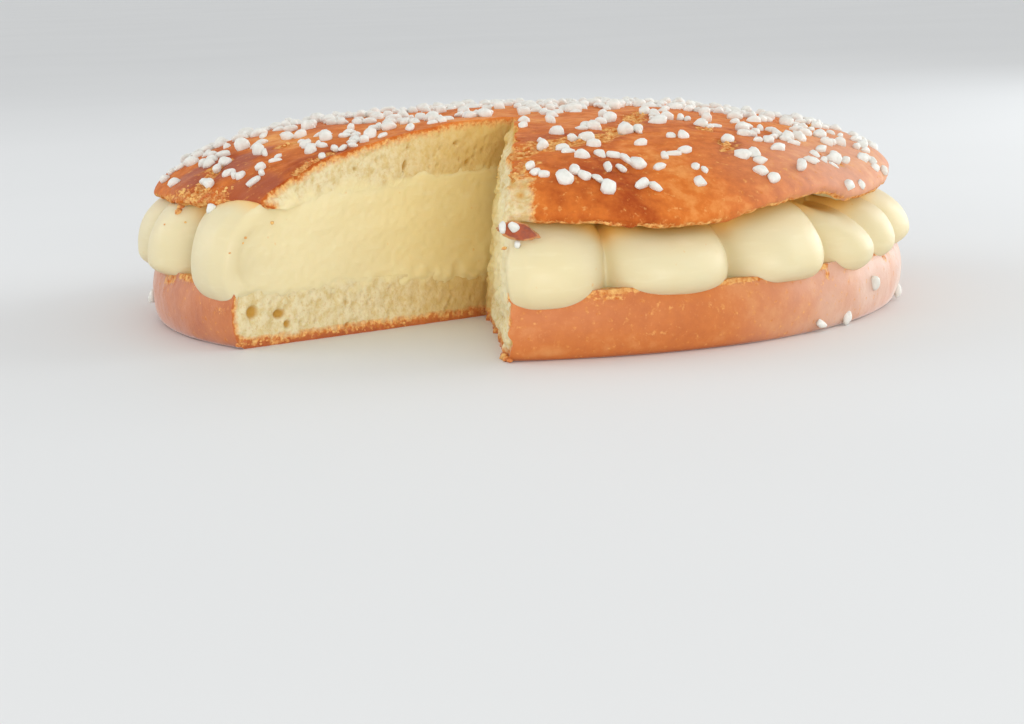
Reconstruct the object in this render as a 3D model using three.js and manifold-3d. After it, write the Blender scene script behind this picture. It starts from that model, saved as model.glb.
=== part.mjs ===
// Tarte tropezienne: a round brioche split across, filled with piped cream, its top strewn with
// pearl sugar, one slice taken out. Millimetres, +Z up. The origin is the centre of the flat foot,
// and the missing slice opens towards -Y and -X.
import * as THREE from "three";
import { mergeVertices } from "three/addons/utils/BufferGeometryUtils.js";
import Module from "manifold-3d";

const wasm = await Module();
wasm.setup();

const DEG = Math.PI / 180;
const GAP = 0.3; // between neighbouring pieces
const SEGMENTS = 76; // round the brioche

// Lower half of the brioche
const FOOT_RADIUS = 116.4;
const BASE_RADIUS = 120.6; // where the side is widest
const BASE_WIDEST_AT = 10.5;
const BASE_EDGE_RADIUS = 118.2; // along the split
const BASE_EDGE_HEIGHT = 19.3;
const BASE_MIDDLE_HEIGHT = 14.8;
const BASE_WOBBLE = 0.6;

// Upper half of the brioche
const CROWN_HEIGHT = 61.3;
const RIM_TUCK = 2.6; // how far the lower edge lies inside the widest point
const UNDERSIDE_HEIGHT = 43.3; // in the middle
const DOME_POWER = 3.2;
const DOME_ROUND = 0.645;
const CUT_DOME_POWER = 2.6; // flatter shoulder beside the left cut
const CUT_DOME_ROUND = 0.75;
const LUMP = 0.7;
// Lower edge of the hand-shaped dome, rise from there to the widest point and radius there, by angle
// in degrees
const RIM_HEIGHT = [
  [0, 37.9], [50, 38.2], [100, 37.2], [150, 38.2], [205, 39.6], [226, 40.3],
  [272, 37.7], [293, 34.6], [318, 39.4], [328, 35.8], [341, 36.8],
];
const RIM_ROUND = [
  [0, 4.4], [50, 2.8], [150, 2.8], [185, 1], [206, 1], [226, 2.4], [262, 2.8], [341, 2.8],
];
const RIM_RADIUS = [
  [0, 117.2], [70, 117.4], [140, 118.2], [185, 118.2], [206, 116.5], [225, 109],
  [272, 117], [300, 117.4], [330, 117.2],
];

// Missing slice: the left cut is upright, the right one leans more and more towards its top
const LEFT_CUT_FOOT = [-83.3, -83.5];
const LEFT_CUT_SLOPE = 0.74;
const APEX_X = -11;
const APEX_LEAN = 8.9; // over the height of the cake
const FRONT_X = -5.4; // of the right cut, at FRONT_Y
const FRONT_Y = -112;
const FRONT_LEAN = 3.2;
const CUT_REACH = 150;
const CUT_LEVELS = 6;

// Cream: a disc with a ring of piped dollops that bulge out between the halves
// Creases between the dollops in degrees, and how low each dollop hangs over the lower half
const LOBE_CREASES = [
  -97.4, -78, -58.6, -40.4, -28, -16, 3, 22, 41.2, 60.4,
  79.6, 98.8, 118, 137.2, 156.4, 175.6, 194.7, 210, 234.5,
];
const LOBE_LOW = [
  13.4, 15.9, 15.5, 15.4, 15.8, 16.6, 16.2, 17, 16.3,
  16.8, 16, 17.1, 16.5, 16.1, 16.9, 16.6, 17.6, 11.6,
];
const LOBE_MIDDLE = 22; // height of the widest part
const LOBE_HANG = 0.68; // share of the lower half that hangs clear of the brioche
const LOBE_FULLER = 0.15; // how much further those on the left reach up under the dome
const LOW_LOBE = 3; // one dollop that was piped lower
const LOW_LOBE_RISE = 0.85;
const SHORT_LOBE = 4; // and one that was piped shorter
const SHORT_LOBE_BY = 2;
const LOBE_REACH = 123.6;
const LOBE_LENGTH = 26; // half size along the radius
const LOBE_OVERLAP = 1.08; // of neighbouring dollops
const LOBE_POWER = 2.2;
const LOBE_UNEVEN = 1.1;
const CORE_SETBACK = 10; // of the disc inside the lower edge of the dome

// Pearl sugar
const SUGAR_COUNT = 170;
const SUGAR_RADIUS = 113;
const SUGAR_LARGEST = 3.2; // half length
const SUGAR_SMALLEST = 2.2;
const SUGAR_SUNK = 0.35; // of its half height
const SUGAR_CLEAR = 4.2; // from the cuts
const SUGAR_SPREAD = 2.4;
const GOLDEN_ANGLE = Math.PI * (3 - Math.sqrt(5));
// Grains stuck to the side of the lower half: angle in degrees and height
const SIDE_SUGAR = [[-43.5, 2.4], [-36.5, 2.4], [-28.5, 10.5], [-11, 3], [-169, 7.7]];

// Place beside the right cut where the crust is torn off the dome
const TORN_AT = [-1.2, -110, 47];
const TORN_SIZE = [9.6, 17, 5];
const TORN_LEAN = 36 * DEG;
const TORN_DEPTH = 1.3;

// Scrap of crust that hangs in front of the cream at the right cut
const SCRAP_LENGTH = 11.8;
const SCRAP_WIDTH = 5;
const SCRAP_THICKNESS = 1.5;
const SCRAP_AT = [-0.9, -117.9, 35.9];
const SCRAP_ROLL = -14 * DEG;
const SCRAP_LEAN = 8 * DEG;
const SCRAP_SUGAR = 1.9;

// Repeatable draw from 0 to 1 for item number and purpose
function chance(item, purpose) {
  const wave = Math.sin(item * 127.1 + purpose * 311.7) * 43758.5453;
  return wave - Math.floor(wave);
}

// Smooth value between the rows of a list of [degrees, value] that closes on itself
function around(rows, angle) {
  const degrees = (((angle / DEG) % 360) + 360) % 360;
  let low = rows[rows.length - 1];
  let high = [rows[0][0] + 360, rows[0][1]];
  for (let i = 0; i + 1 < rows.length; i++) {
    if (degrees >= rows[i][0] && degrees < rows[i + 1][0]) {
      low = rows[i];
      high = rows[i + 1];
    }
  }
  const t = (degrees - low[0]) / (high[0] - low[0]);
  return low[1] + (high[1] - low[1]) * t * t * (3 - 2 * t);
}

// 1 beside the left cut, falling to 0 away from it
function nearLeftCut(angle) {
  const away = Math.atan2(Math.sin(angle - 226 * DEG), Math.cos(angle - 226 * DEG)) / (24 * DEG);
  return Math.exp(-away * away);
}

function solid(geometry) {
  const bare = geometry.clone();
  bare.deleteAttribute("normal");
  bare.deleteAttribute("uv");
  const merged = mergeVertices(bare, 1e-4);
  return new wasm.Manifold(
    new wasm.Mesh({
      numProp: 3,
      vertProperties: merged.getAttribute("position").array,
      triVerts: new Uint32Array(merged.index.array),
    }),
  );
}

// A lathe whose profile changes with the angle. profileAt gives [radius, height] pairs, always as
// many, from the axis at the foot round the outside and back to the axis.
function turned(profileAt) {
  const first = profileAt(0).map(([r, z]) => new THREE.Vector2(r, z));
  const lathe = new THREE.LatheGeometry(first, SEGMENTS);
  const position = lathe.getAttribute("position");
  for (let s = 0; s <= SEGMENTS; s++) {
    const angle = (s % SEGMENTS) * ((2 * Math.PI) / SEGMENTS);
    profileAt(angle).forEach(([r, z], j) => {
      position.setXYZ(s * first.length + j, -r * Math.sin(angle), r * Math.cos(angle), z);
    });
  }
  return solid(lathe);
}

// The lathe above starts its turn at +Y
const trueAngle = (turn) => turn + Math.PI / 2;

function baseTop(radius) {
  const t = radius / BASE_EDGE_RADIUS;
  return BASE_MIDDLE_HEIGHT + (BASE_EDGE_HEIGHT - BASE_MIDDLE_HEIGHT) * t * t;
}

function baseWobble(angle) {
  return BASE_WOBBLE * (Math.sin(3 * angle + 0.7) + 0.6 * Math.sin(7 * angle + 2.1));
}

function baseProfile(turn, grow) {
  const wobble = baseWobble(trueAngle(turn));
  const points = [[0, 0], [FOOT_RADIUS / 2, 0], [FOOT_RADIUS + wobble, 0]];
  const cornerSteps = 4;
  for (let i = 1; i <= cornerSteps; i++) {
    const turnUp = (i / cornerSteps) * (Math.PI / 2);
    const r = FOOT_RADIUS + (BASE_RADIUS - FOOT_RADIUS) * Math.sin(turnUp);
    points.push([r + wobble + grow, BASE_WIDEST_AT * (1 - Math.cos(turnUp))]);
  }
  const middle = (BASE_RADIUS * 1.4 + BASE_EDGE_RADIUS * 0.6) / 2;
  points.push([middle + wobble + grow, (BASE_WIDEST_AT + BASE_EDGE_HEIGHT) / 2]);
  points.push([BASE_EDGE_RADIUS + wobble + grow, BASE_EDGE_HEIGHT + grow]);
  for (const share of [0.72, 0.4, 0]) {
    points.push([BASE_EDGE_RADIUS * share, baseTop(BASE_EDGE_RADIUS * share) + grow]);
  }
  return points;
}

function lump(x, y) {
  const broad = Math.sin(x / 19 + 0.6) * Math.cos(y / 23 - 0.4);
  const narrow = 0.7 * Math.sin((x + 0.6 * y) / 12 + 1.9) * Math.sin((y - 0.4 * x) / 15);
  return LUMP * (broad + narrow);
}

// Height of the crust over the point at this radius and angle
function crustHeight(radius, angle) {
  const rim = around(RIM_RADIUS, angle);
  const widest = around(RIM_HEIGHT, angle) + around(RIM_ROUND, angle);
  const pressed = nearLeftCut(angle);
  const power = DOME_POWER + (CUT_DOME_POWER - DOME_POWER) * pressed;
  const round = DOME_ROUND + (CUT_DOME_ROUND - DOME_ROUND) * pressed;
  const share = Math.min(radius / rim, 1);
  const swell = Math.pow(1 - Math.pow(share, power), round);
  const bumps = lump(radius * Math.cos(angle), radius * Math.sin(angle)) * swell;
  return widest + (CROWN_HEIGHT - widest) * swell + bumps;
}

function topProfile(turn, grow) {
  const angle = trueAngle(turn);
  const rim = around(RIM_RADIUS, angle);
  const edge = around(RIM_HEIGHT, angle);
  const points = [];
  for (const share of [0, 0.45, 0.8]) {
    const rise = (UNDERSIDE_HEIGHT - edge) * (1 - Math.pow(share, 4));
    points.push([(rim - RIM_TUCK) * share, edge + rise - grow]);
  }
  points.push([rim - RIM_TUCK + grow, edge - grow]);
  points.push([rim - RIM_TUCK * 0.3 + grow, edge + around(RIM_ROUND, angle) * 0.35 - grow]);
  for (const share of [1, 0.98, 0.945, 0.88, 0.78, 0.63, 0.42, 0]) {
    points.push([rim * share + (share > 0 ? grow : 0), crustHeight(rim * share, angle) + grow]);
  }
  return points;
}

// The missing slice as a three-sided prism whose corners move with the height
function slice() {
  const prism = new THREE.CylinderGeometry(1, 1, 1, 3, CUT_LEVELS);
  const position = prism.getAttribute("position");
  const below = -8;
  const above = CROWN_HEIGHT + 16;
  for (let i = 0; i < position.count; i++) {
    const z = below + (position.getY(i) + 0.5) * (above - below);
    const lean = Math.pow(Math.max(z, 0) / CROWN_HEIGHT, 2);
    const apexX = APEX_X + APEX_LEAN * lean;
    const apexY = LEFT_CUT_FOOT[1] + LEFT_CUT_SLOPE * (apexX - LEFT_CUT_FOOT[0]);
    const run = (CUT_REACH + apexY) / (apexY - FRONT_Y);
    const corners = [
      [apexX, apexY],
      [-CUT_REACH, apexY + LEFT_CUT_SLOPE * (-CUT_REACH - apexX)],
      [apexX + (FRONT_X + FRONT_LEAN * lean - apexX) * run, -CUT_REACH],
    ];
    const radius = Math.hypot(position.getX(i), position.getZ(i));
    const corner = Math.round(Math.atan2(position.getX(i), position.getZ(i)) / (120 * DEG) + 3) % 3;
    const middle = [0, 1].map((k) => (corners[0][k] + corners[1][k] + corners[2][k]) / 3);
    const [x, y] = radius < 0.5 ? middle : corners[corner];
    position.setXYZ(i, x, y, z);
  }
  return solid(prism);
}

// Distance of a point from the missing slice, below zero inside it
function clearOfSlice(x, y) {
  const leftLine = y - LEFT_CUT_FOOT[1] - LEFT_CUT_SLOPE * (x - LEFT_CUT_FOOT[0]);
  const left = leftLine / Math.hypot(1, LEFT_CUT_SLOPE);
  const right = x - (APEX_X + APEX_LEAN);
  return Math.max(left, right);
}

// 1 on the left of the cake, 0 on the right
function leftward(angle) {
  const t = Math.min(Math.max(0.5 - Math.cos(angle), 0), 1);
  return t * t * (3 - 2 * t);
}

// One dollop: a sphere drawn out along the radius, between two creases
function lobe(index) {
  const ball = new THREE.SphereGeometry(1, 16, 10);
  const position = ball.getAttribute("position");
  const from = LOBE_CREASES[index] * DEG;
  const to = LOBE_CREASES[index + 1] * DEG;
  const short = index === SHORT_LOBE ? SHORT_LOBE_BY : 0;
  const reach = LOBE_REACH - short + LOBE_UNEVEN * (chance(index, 1) - 0.5);
  const angle = (from + to) / 2;
  const middleRadius = reach - LOBE_LENGTH;
  const width = LOBE_OVERLAP * (reach - LOBE_LENGTH / 3) * (to - from) / 2;
  const lowered = index === LOW_LOBE ? LOW_LOBE_RISE : 1;
  const toRim = around(RIM_HEIGHT, angle) + GAP - LOBE_MIDDLE;
  const rise = lowered * toRim / (1 - LOBE_FULLER * leftward(angle));
  const drop = (LOBE_MIDDLE - LOBE_LOW[index]) / LOBE_HANG;
  for (let i = 0; i < position.count; i++) {
    const direction = new THREE.Vector3().fromBufferAttribute(position, i).normalize();
    const far =
      Math.pow(Math.abs(direction.x) / LOBE_LENGTH, LOBE_POWER) +
      Math.pow(Math.abs(direction.z) / width, LOBE_POWER) +
      Math.pow(Math.abs(direction.y) / (direction.y > 0 ? rise : drop), LOBE_POWER);
    direction.multiplyScalar(Math.pow(far, -1 / LOBE_POWER));
    position.setXYZ(i, direction.x, direction.y, direction.z);
  }
  ball.rotateX(Math.PI / 2);
  ball.translate(middleRadius, 0, LOBE_MIDDLE);
  ball.rotateZ(angle);
  return solid(ball);
}

function coreProfile(turn) {
  const angle = trueAngle(turn);
  const edge = around(RIM_RADIUS, angle) - RIM_TUCK - CORE_SETBACK;
  const bottom = BASE_MIDDLE_HEIGHT - 2;
  const rimTop = around(RIM_HEIGHT, angle) + 3;
  const top = UNDERSIDE_HEIGHT + 2;
  return [[0, bottom], [edge, bottom], [edge, rimTop], [edge * 0.8, top], [0, top]];
}

// One grain of pearl sugar with its middle at a point, flat on a surface with this normal
function grain(index, at, normal, halfLength) {
  const shape = new THREE.IcosahedronGeometry(1, 0);
  const halfWidth = halfLength * (0.62 + 0.3 * chance(index, 11));
  const halfHeight = halfLength * (0.5 + 0.22 * chance(index, 12));
  shape.scale(halfLength, halfWidth, halfHeight);
  shape.rotateZ(chance(index, 13) * 2 * Math.PI);
  const upright = new THREE.Vector3(0, 0, 1);
  shape.applyQuaternion(new THREE.Quaternion().setFromUnitVectors(upright, normal));
  const lift = halfHeight * SUGAR_SUNK;
  shape.translate(at.x + normal.x * lift, at.y + normal.y * lift, at.z + normal.z * lift);
  return solid(shape);
}

function crustPoint(radius, angle) {
  return new THREE.Vector3(
    radius * Math.cos(angle),
    radius * Math.sin(angle),
    crustHeight(radius, angle),
  );
}

// Grains in a sunflower spiral, each shaken a little out of its place
function crownSugar() {
  const grains = [];
  for (let i = 0; i < SUGAR_COUNT; i++) {
    const shakeOut = SUGAR_SPREAD * (2 * chance(i, 4) - 1);
    const shakeRound = SUGAR_SPREAD * (2 * chance(i, 5) - 1);
    const even = SUGAR_RADIUS * Math.sqrt((i + 0.5) / SUGAR_COUNT);
    const radius = Math.min(Math.abs(even + shakeOut), SUGAR_RADIUS);
    const angle = i * GOLDEN_ANGLE + shakeRound / Math.max(radius, 8);
    const rim = around(RIM_RADIUS, angle);
    const at = crustPoint(Math.min(radius, rim - 3), angle);
    if (clearOfSlice(at.x, at.y) < SUGAR_CLEAR) {
      continue;
    }
    const step = 1.5;
    const outward = crustPoint(Math.min(radius, rim - 3) - step, angle).sub(at).negate();
    const sideways = crustPoint(Math.min(radius, rim - 3), angle + step / radius).sub(at);
    const normal = outward.cross(sideways).normalize();
    const size = SUGAR_SMALLEST + (SUGAR_LARGEST - SUGAR_SMALLEST) * chance(i, 6);
    grains.push(grain(i, at, normal, size));
  }
  return grains;
}

// Flat tool that takes off the crust over the torn place
function tornCrust() {
  const slab = new THREE.BoxGeometry(...TORN_SIZE);
  slab.translate(0, 0, TORN_SIZE[2] / 2 - TORN_DEPTH);
  slab.rotateX(TORN_LEAN);
  slab.translate(...TORN_AT);
  return solid(slab);
}

function sideSugar() {
  return SIDE_SUGAR.map(([degrees, height], i) => {
    const normal = new THREE.Vector3(Math.cos(degrees * DEG), Math.sin(degrees * DEG), 0);
    const bulge = Math.sqrt(Math.max(0, 1 - Math.pow(1 - height / BASE_WIDEST_AT, 2)));
    const radius = FOOT_RADIUS + (BASE_RADIUS - FOOT_RADIUS) * bulge + baseWobble(degrees * DEG);
    const at = normal.clone().multiplyScalar(radius).setZ(height);
    return grain(400 + i, at, normal, SUGAR_SMALLEST);
  });
}

function scrap() {
  const outline = new THREE.Shape();
  outline.moveTo(-SCRAP_LENGTH / 2, 0.4);
  outline.quadraticCurveTo(-SCRAP_LENGTH / 4, SCRAP_WIDTH * 0.62, 0, SCRAP_WIDTH * 0.42);
  outline.quadraticCurveTo(SCRAP_LENGTH / 3, SCRAP_WIDTH * 0.34, SCRAP_LENGTH / 2, -0.6);
  outline.quadraticCurveTo(SCRAP_LENGTH / 5, -SCRAP_WIDTH * 0.6, -SCRAP_LENGTH / 2, 0.4);
  const options = { depth: SCRAP_THICKNESS, bevelEnabled: false, curveSegments: 4 };
  const chip = new THREE.ExtrudeGeometry(outline, options);
  const up = new THREE.Vector3(0, 0, 1);
  const onLeft = new THREE.Vector3(-SCRAP_LENGTH * 0.4, SCRAP_WIDTH * 0.08, SCRAP_THICKNESS);
  const onMiddle = new THREE.Vector3(-SCRAP_LENGTH * 0.14, SCRAP_WIDTH * 0.24, SCRAP_THICKNESS);
  const pieces = [
    solid(chip),
    grain(501, onLeft, up, SCRAP_SUGAR),
    grain(502, onMiddle, up, SCRAP_SUGAR * 0.9),
  ];
  const place = new THREE.Matrix4()
    .makeTranslation(...SCRAP_AT)
    .multiply(new THREE.Matrix4().makeRotationY(-SCRAP_ROLL))
    .multiply(new THREE.Matrix4().makeRotationX(Math.PI / 2 - SCRAP_LEAN));
  const data = wasm.Manifold.union(pieces).getMesh();
  const placed = new THREE.BufferGeometry();
  placed.setAttribute("position", new THREE.BufferAttribute(data.vertProperties, 3));
  placed.setIndex(new THREE.BufferAttribute(data.triVerts, 1));
  return solid(placed.applyMatrix4(place));
}

function mesh(name, body, color, roughness) {
  const data = body.getMesh();
  const geometry = new THREE.BufferGeometry();
  geometry.setAttribute("position", new THREE.BufferAttribute(data.vertProperties, 3));
  geometry.setIndex(new THREE.BufferAttribute(data.triVerts, 1));
  geometry.computeVertexNormals();
  const material = new THREE.MeshStandardMaterial({ color, roughness, metalness: 0 });
  const made = new THREE.Mesh(geometry, material);
  made.name = name;
  return made;
}

const missing = slice();
const base = turned((turn) => baseProfile(turn, 0));
const dome = turned((turn) => topProfile(turn, 0));
const top = wasm.Manifold.union([dome.subtract(tornCrust()), ...crownSugar()]);
const lobes = [];
for (let i = 0; i < LOBE_LOW.length; i++) {
  lobes.push(lobe(i));
}
const cream = wasm.Manifold.union([turned(coreProfile), ...lobes])
  .subtract(turned((turn) => baseProfile(turn, GAP)))
  .subtract(turned((turn) => topProfile(turn, GAP)));

const cake = new THREE.Group();
cake.name = "tarte_tropezienne";
cake.add(
  mesh("brioche_base", wasm.Manifold.union([base, ...sideSugar()]).subtract(missing), 0xd07c42, 0.6),
  mesh("cream_filling", cream.subtract(missing), 0xf0dfae, 0.35),
  mesh("brioche_top", top.subtract(missing), 0xb85c26, 0.4),
  mesh("crust_scrap", scrap(), 0xa04a1e, 0.45),
);

export default cake;
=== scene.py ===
import math
import bmesh
import bpy
import numpy as np
from mathutils import Matrix, Vector, kdtree


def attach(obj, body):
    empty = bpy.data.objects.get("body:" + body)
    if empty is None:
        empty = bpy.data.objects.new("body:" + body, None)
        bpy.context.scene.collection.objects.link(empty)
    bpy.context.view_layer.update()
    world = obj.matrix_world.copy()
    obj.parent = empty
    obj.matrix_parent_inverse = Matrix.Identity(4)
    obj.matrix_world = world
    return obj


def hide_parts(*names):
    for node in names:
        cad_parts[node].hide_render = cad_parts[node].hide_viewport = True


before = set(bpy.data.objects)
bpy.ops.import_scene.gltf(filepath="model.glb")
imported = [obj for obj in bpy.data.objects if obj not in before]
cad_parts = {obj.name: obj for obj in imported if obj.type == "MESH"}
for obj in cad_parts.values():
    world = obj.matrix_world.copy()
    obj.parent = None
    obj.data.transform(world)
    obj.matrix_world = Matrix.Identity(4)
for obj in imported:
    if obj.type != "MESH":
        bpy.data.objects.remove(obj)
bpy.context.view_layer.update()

# Tarte tropezienne. Shapes are worked out in millimetres and stored in metres, in the frame of the
# solids: origin at the centre of the foot, +Z up, the missing slice towards -Y and -X.
MM = 0.001

# Lower half of the brioche
FOOT_RADIUS = 116.4
BASE_RADIUS = 120.6
BASE_WIDEST_AT = 10.5
BASE_EDGE_RADIUS = 118.2
BASE_EDGE_HEIGHT = 19.3
BASE_MIDDLE_HEIGHT = 14.8
BASE_WOBBLE = 0.6

# Upper half of the brioche. Its rim is given by rows of degrees and millimetres
CROWN_HEIGHT = 61.3
RIM_TUCK = 2.6
UNDERSIDE_HEIGHT = 43.3
DOME_POWER, CUT_DOME_POWER = 3.2, 2.6
DOME_ROUND, CUT_DOME_ROUND = 0.645, 0.75
LUMP = 0.7
RIM_HEIGHT = [
    (0, 37.9), (50, 38.2), (100, 37.2), (150, 38.2), (205, 39.6), (226, 40.3),
    (272, 37.7), (293, 34.6), (318, 39.4), (328, 35.8), (341, 36.8),
]
RIM_ROUND = [(0, 4.4), (50, 2.8), (150, 2.8), (185, 1), (206, 1), (226, 2.4), (262, 2.8), (341, 2.8)]
RIM_RADIUS = [
    (0, 117.2), (70, 117.4), (140, 118.2), (185, 118.2), (206, 116.5), (225, 109),
    (272, 117), (300, 117.4), (330, 117.2),
]

# Crust at a cut: its thickness, and the depths, in thicknesses, that stand for crumb all through, for
# the place where the crust is torn off and for the browned edge of the split
TOP_CRUST, BASE_CRUST, BASE_BOTTOM_CRUST = 1.7, 1.2, 3
UNBAKED, TORN_DEPTH, EDGE_DEPTH = 6.0, 1.7, 0.8

# Material slots of a layer: outside, cut by the knife and split across
CRUST, CUT_FACE, SPLIT_FACE = 0, 1, 2

# Missing slice. Left cut: angle at the rim, how far round it the crust is pressed down, foot and slope
# in plan, direction along it and into the cake
LEFT, RIGHT = 0, 1
LEFT_CUT_AT, LEFT_CUT_PRESSED = math.radians(226), math.radians(24)
LEFT_CUT_FOOT = (-83.3, -83.5)
LEFT_CUT_SLOPE = 0.74
LEFT_ALONG = np.array([-1, -LEFT_CUT_SLOPE]) / math.hypot(1, LEFT_CUT_SLOPE)
LEFT_INTO = np.array([-LEFT_CUT_SLOPE, 1]) / math.hypot(1, LEFT_CUT_SLOPE)
# Apex and front end of the right cut: place at the foot and how far they lean over up to the crown
APEX_X, APEX_LEAN = -11, 8.9
FRONT_X, FRONT_LEAN, FRONT_Y = -5.4, 3.2, -112
# Tool that cuts: how far it reaches, the part of that with relief, its grid and its heights in each layer
CUT_REACH = 150
CUT_LENGTH = 124
CUT_GRID = 0.46
BASE_CUT, TOP_CUT, CREAM_CUT = (-3, 23), (31, 70), (3, 54)

# Cream: angles of the creases between the dollops, and how low each hangs over the lower half
LOBE_CREASES = np.radians([
    -97.4, -78, -58.6, -40.4, -28, -16, 3, 22, 41.2, 60.4,
    79.6, 98.8, 118, 137.2, 156.4, 175.6, 194.7, 210, 234.5,
])
LOBE_LOW = np.array([
    13.4, 15.9, 15.5, 15.4, 15.8, 16.6, 16.2, 17, 16.3, 16.8, 16, 17.1, 16.5, 16.1, 16.9, 16.6, 17.6, 11.6,
])
# In plan: radius of the tips, length, roundness, depth of the creases and how uneven the lengths are
LOBE_REACH = 123.6
LOBE_LENGTH = 26
LOBE_POWER = 2.3
LOBE_CREASE = 0.92
LOBE_UNEVEN = 1.1
SHORT_LOBE, SHORT_LOBE_BY = 4, 2
# Upright: height of the middle, part of the drop that shows, how much fuller they are on the left, how
# far the crest dips in a crease, roundness above and below, and the turns from below to above
LOBE_MIDDLE = 22
LOBE_HANG = 0.68
LOBE_FULLER = 0.15
LOBE_DIP = 0.6
LOW_LOBE, LOW_LOBE_RISE = 3, 0.85
UPPER_POWER, LEFT_UPPER_POWER, LOWER_POWER = 1.9, 2.3, 2.2
LOBE_TURNS = np.radians(np.linspace(-56, 88, 60))
# How far the cream runs into the layers, its radius under the upper half, where its painted shade starts
# and over what length it deepens to golden, and the rounding at the corners of the cut
CREAM_OVERLAP = 4.2
CREAM_TOP_RADIUS = 114
CREAM_DEEP_FROM, CREAM_DEEP_OVER = 112, 85
CORNER_ROUND = 5

# Pearl sugar: grains that the solids carry too, spread evenly and shaken; sizes are half lengths
SUGAR_COUNT = 170
SUGAR_RADIUS = 113
SUGAR_LARGEST, SUGAR_SMALLEST = 3.2, 2.2
SUGAR_SUNK = 0.35
SUGAR_CHIPS = 6
SUGAR_CLEAR = 4.2
SUGAR_SPREAD = 2.4
GOLDEN_ANGLE = math.pi * (3 - math.sqrt(5))
# Grains on the side of the lower half: angle in degrees and height
SIDE_SUGAR = [(-43.5, 2.4), (-36.5, 2.4), (-28.5, 10.5), (-11, 3), (-169, 7.7)]
# Finer grains between them
FINE_SUGAR = 480
FINE_LARGEST, FINE_SMALLEST = 2.7, 1.8
# Grains at the very rim: angle in degrees, distance in from the rim and size
RIM_SUGAR = [(-34.5, 0.6, 2.2), (-30, 0.6, 1.9), (-20.5, 2.2, 2), (-16, 0.8, 2), (192, 3.8, 2)]
# Numbers from which the grains of each kind are counted
SIDE_FROM, LOOSE_FROM, RIM_FROM, FINE_FROM = 400, 500, 600, 1000

# Scrap of crust on the corner of the cream
SCRAP_LENGTH, SCRAP_WIDTH, SCRAP_THICKNESS = 11.8, 5, 1.5
SCRAP_AT = (-0.9, -117.9, 35.9)
SCRAP_ROLL = math.radians(-14)
SCRAP_LEAN = math.radians(8)
SCRAP_SUGAR = 1.9

# Crumbs: angle in degrees and height on the dollops, distance from the apex and height on the left
# cut, and place at the foot of the right cut, each with a size
RING_CRUMBS = [(205, 33.7, 0.6), (208, 34.5, 0.5), (206, 37.5, 1.6), (205.5, 38.8, 1.5), (211, 37.5, 0.9)]
CUT_CRUMBS = [(89.5, 32.5, 0.75), (90, 31, 0.6), (93, 30.5, 0.45), (94, 28.5, 0.5), (81, 36, 0.9)]
FOOT_CRUMBS = [
    (-5, -116.5, 31.5, 0.9), (-6.2, -114, 0.9, 1.3), (-5.4, -117, 0.8, 1.1), (-6, -110, 0.6, 0.8),
    (-4.4, -119.5, 0.7, 1),
]
EDGE_CRUMBS = 26
# Crumbs of torn skin: how many to a millimetre of crack, and on the left part of the rim
SKIN_CRUMBS_PER_MM = 2
RIM_CRUMBS, RIM_CRUMBS_FROM, RIM_CRUMBS_TO = 130, 205, 218
# Grains of sugar on the dollops, under the rim and under the scrap: angle in degrees, height and size
LOOSE_GRAINS = [(216.5, 39.5, SCRAP_SUGAR), (-90.6, 32.6, 1.3)]

# Cracks where the crust has split while baking: points in plan and half width
CRACKS = [
    (((-91, -38), (-94.5, -47), (-95.5, -54), (-95.5, -61)), 3.2),
    (((-2, -88), (6, -80), (15, -74), (23, -69)), 6),
    (((-3, -102), (2, -96)), 3),
    (((23, -69), (32, -52), (38, -20)), 4),
    (((54.2, -49.8), (57.2, -57.8)), 2.2),
    (((58.5, -75.9), (61.7, -69.2)), 1.8),
    (((86.2, -6.3), (89.4, -19.1), (93.5, -4.4)), 2.2),
    (((90, -56.3), (94, -55.6)), 1.6),
    (((-64.7, -68.8), (-62.2, -63.6), (-59, -59), (-55.3, -56.7)), 2.6),
    (((-73, -38), (-70, -36)), 2.4),
    (((-89, -7), (-85, -1)), 2.4),
]
MORE_CRACKS = 9
# Darker and paler baked places: point in plan, radius and strength
SCORCHED = [
    ((24, -97), 14, 0.85), ((11, -110), 6, 0.5), ((31, -112), 6, 0.25), ((90, -13), 4, 0.6),
    ((-72, -62), 14, 0.4), ((-80, -22), 9, -0.8), ((-69, -36), 9, -0.8),
]

# Crust torn off the rim beside the right cut: where it ends. Rim with torn skin on the left: angle and
# half width in degrees. Painted reflection of the window: degrees where it starts and ends, rises and fades
TORN_LEFT, TORN_RIGHT, TORN_BACK, TORN_TOP = -14, 5, -90, 52
TORN_RIM_AT, TORN_RIM_HALF = 211, 15
HAZE_FROM, HAZE_TO, HAZE_RISE, HAZE_FADE = -66, 25, 36, 30
# Roll of crumb that hangs out of the left cut: distance from the apex, height, half sizes, how far out
CURL_AT, CURL_HEIGHT, CURL_HALF_LENGTH, CURL_HALF_HEIGHT, CURL_OUT = 79, 41, 6.5, 3.6, 2.2
# Sag of the underside near the left cut: radius, half width and drop
SAG_AT, SAG_HALF, SAG = 100, 6, 2
# Fold of the cream at the left end of the cut: distance from the apex, height, radius, width and rise
FOLD_AT, FOLD_HEIGHT, FOLD_RADIUS, FOLD_WIDTH, FOLD_RISE = 80, 27, 13, 1.5, 0.8
# Points round the rings of the lower half, the upper half and the cream
BASE_AROUND, TOP_AROUND, CREAM_AROUND = 900, 840, 1000
# Rings at the rim of the upper half that are smoothed, and how often
SMOOTHED_RINGS, SMOOTHINGS = 34, 5

# Smooth shiny skin of the crust: point in plan and radius
SMOOTH_SKIN = [((-103, -46), 7), ((-101, -36), 6), ((-80, -70), 9), ((-87, -50), 7), ((-81, -40), 6)]

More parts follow.
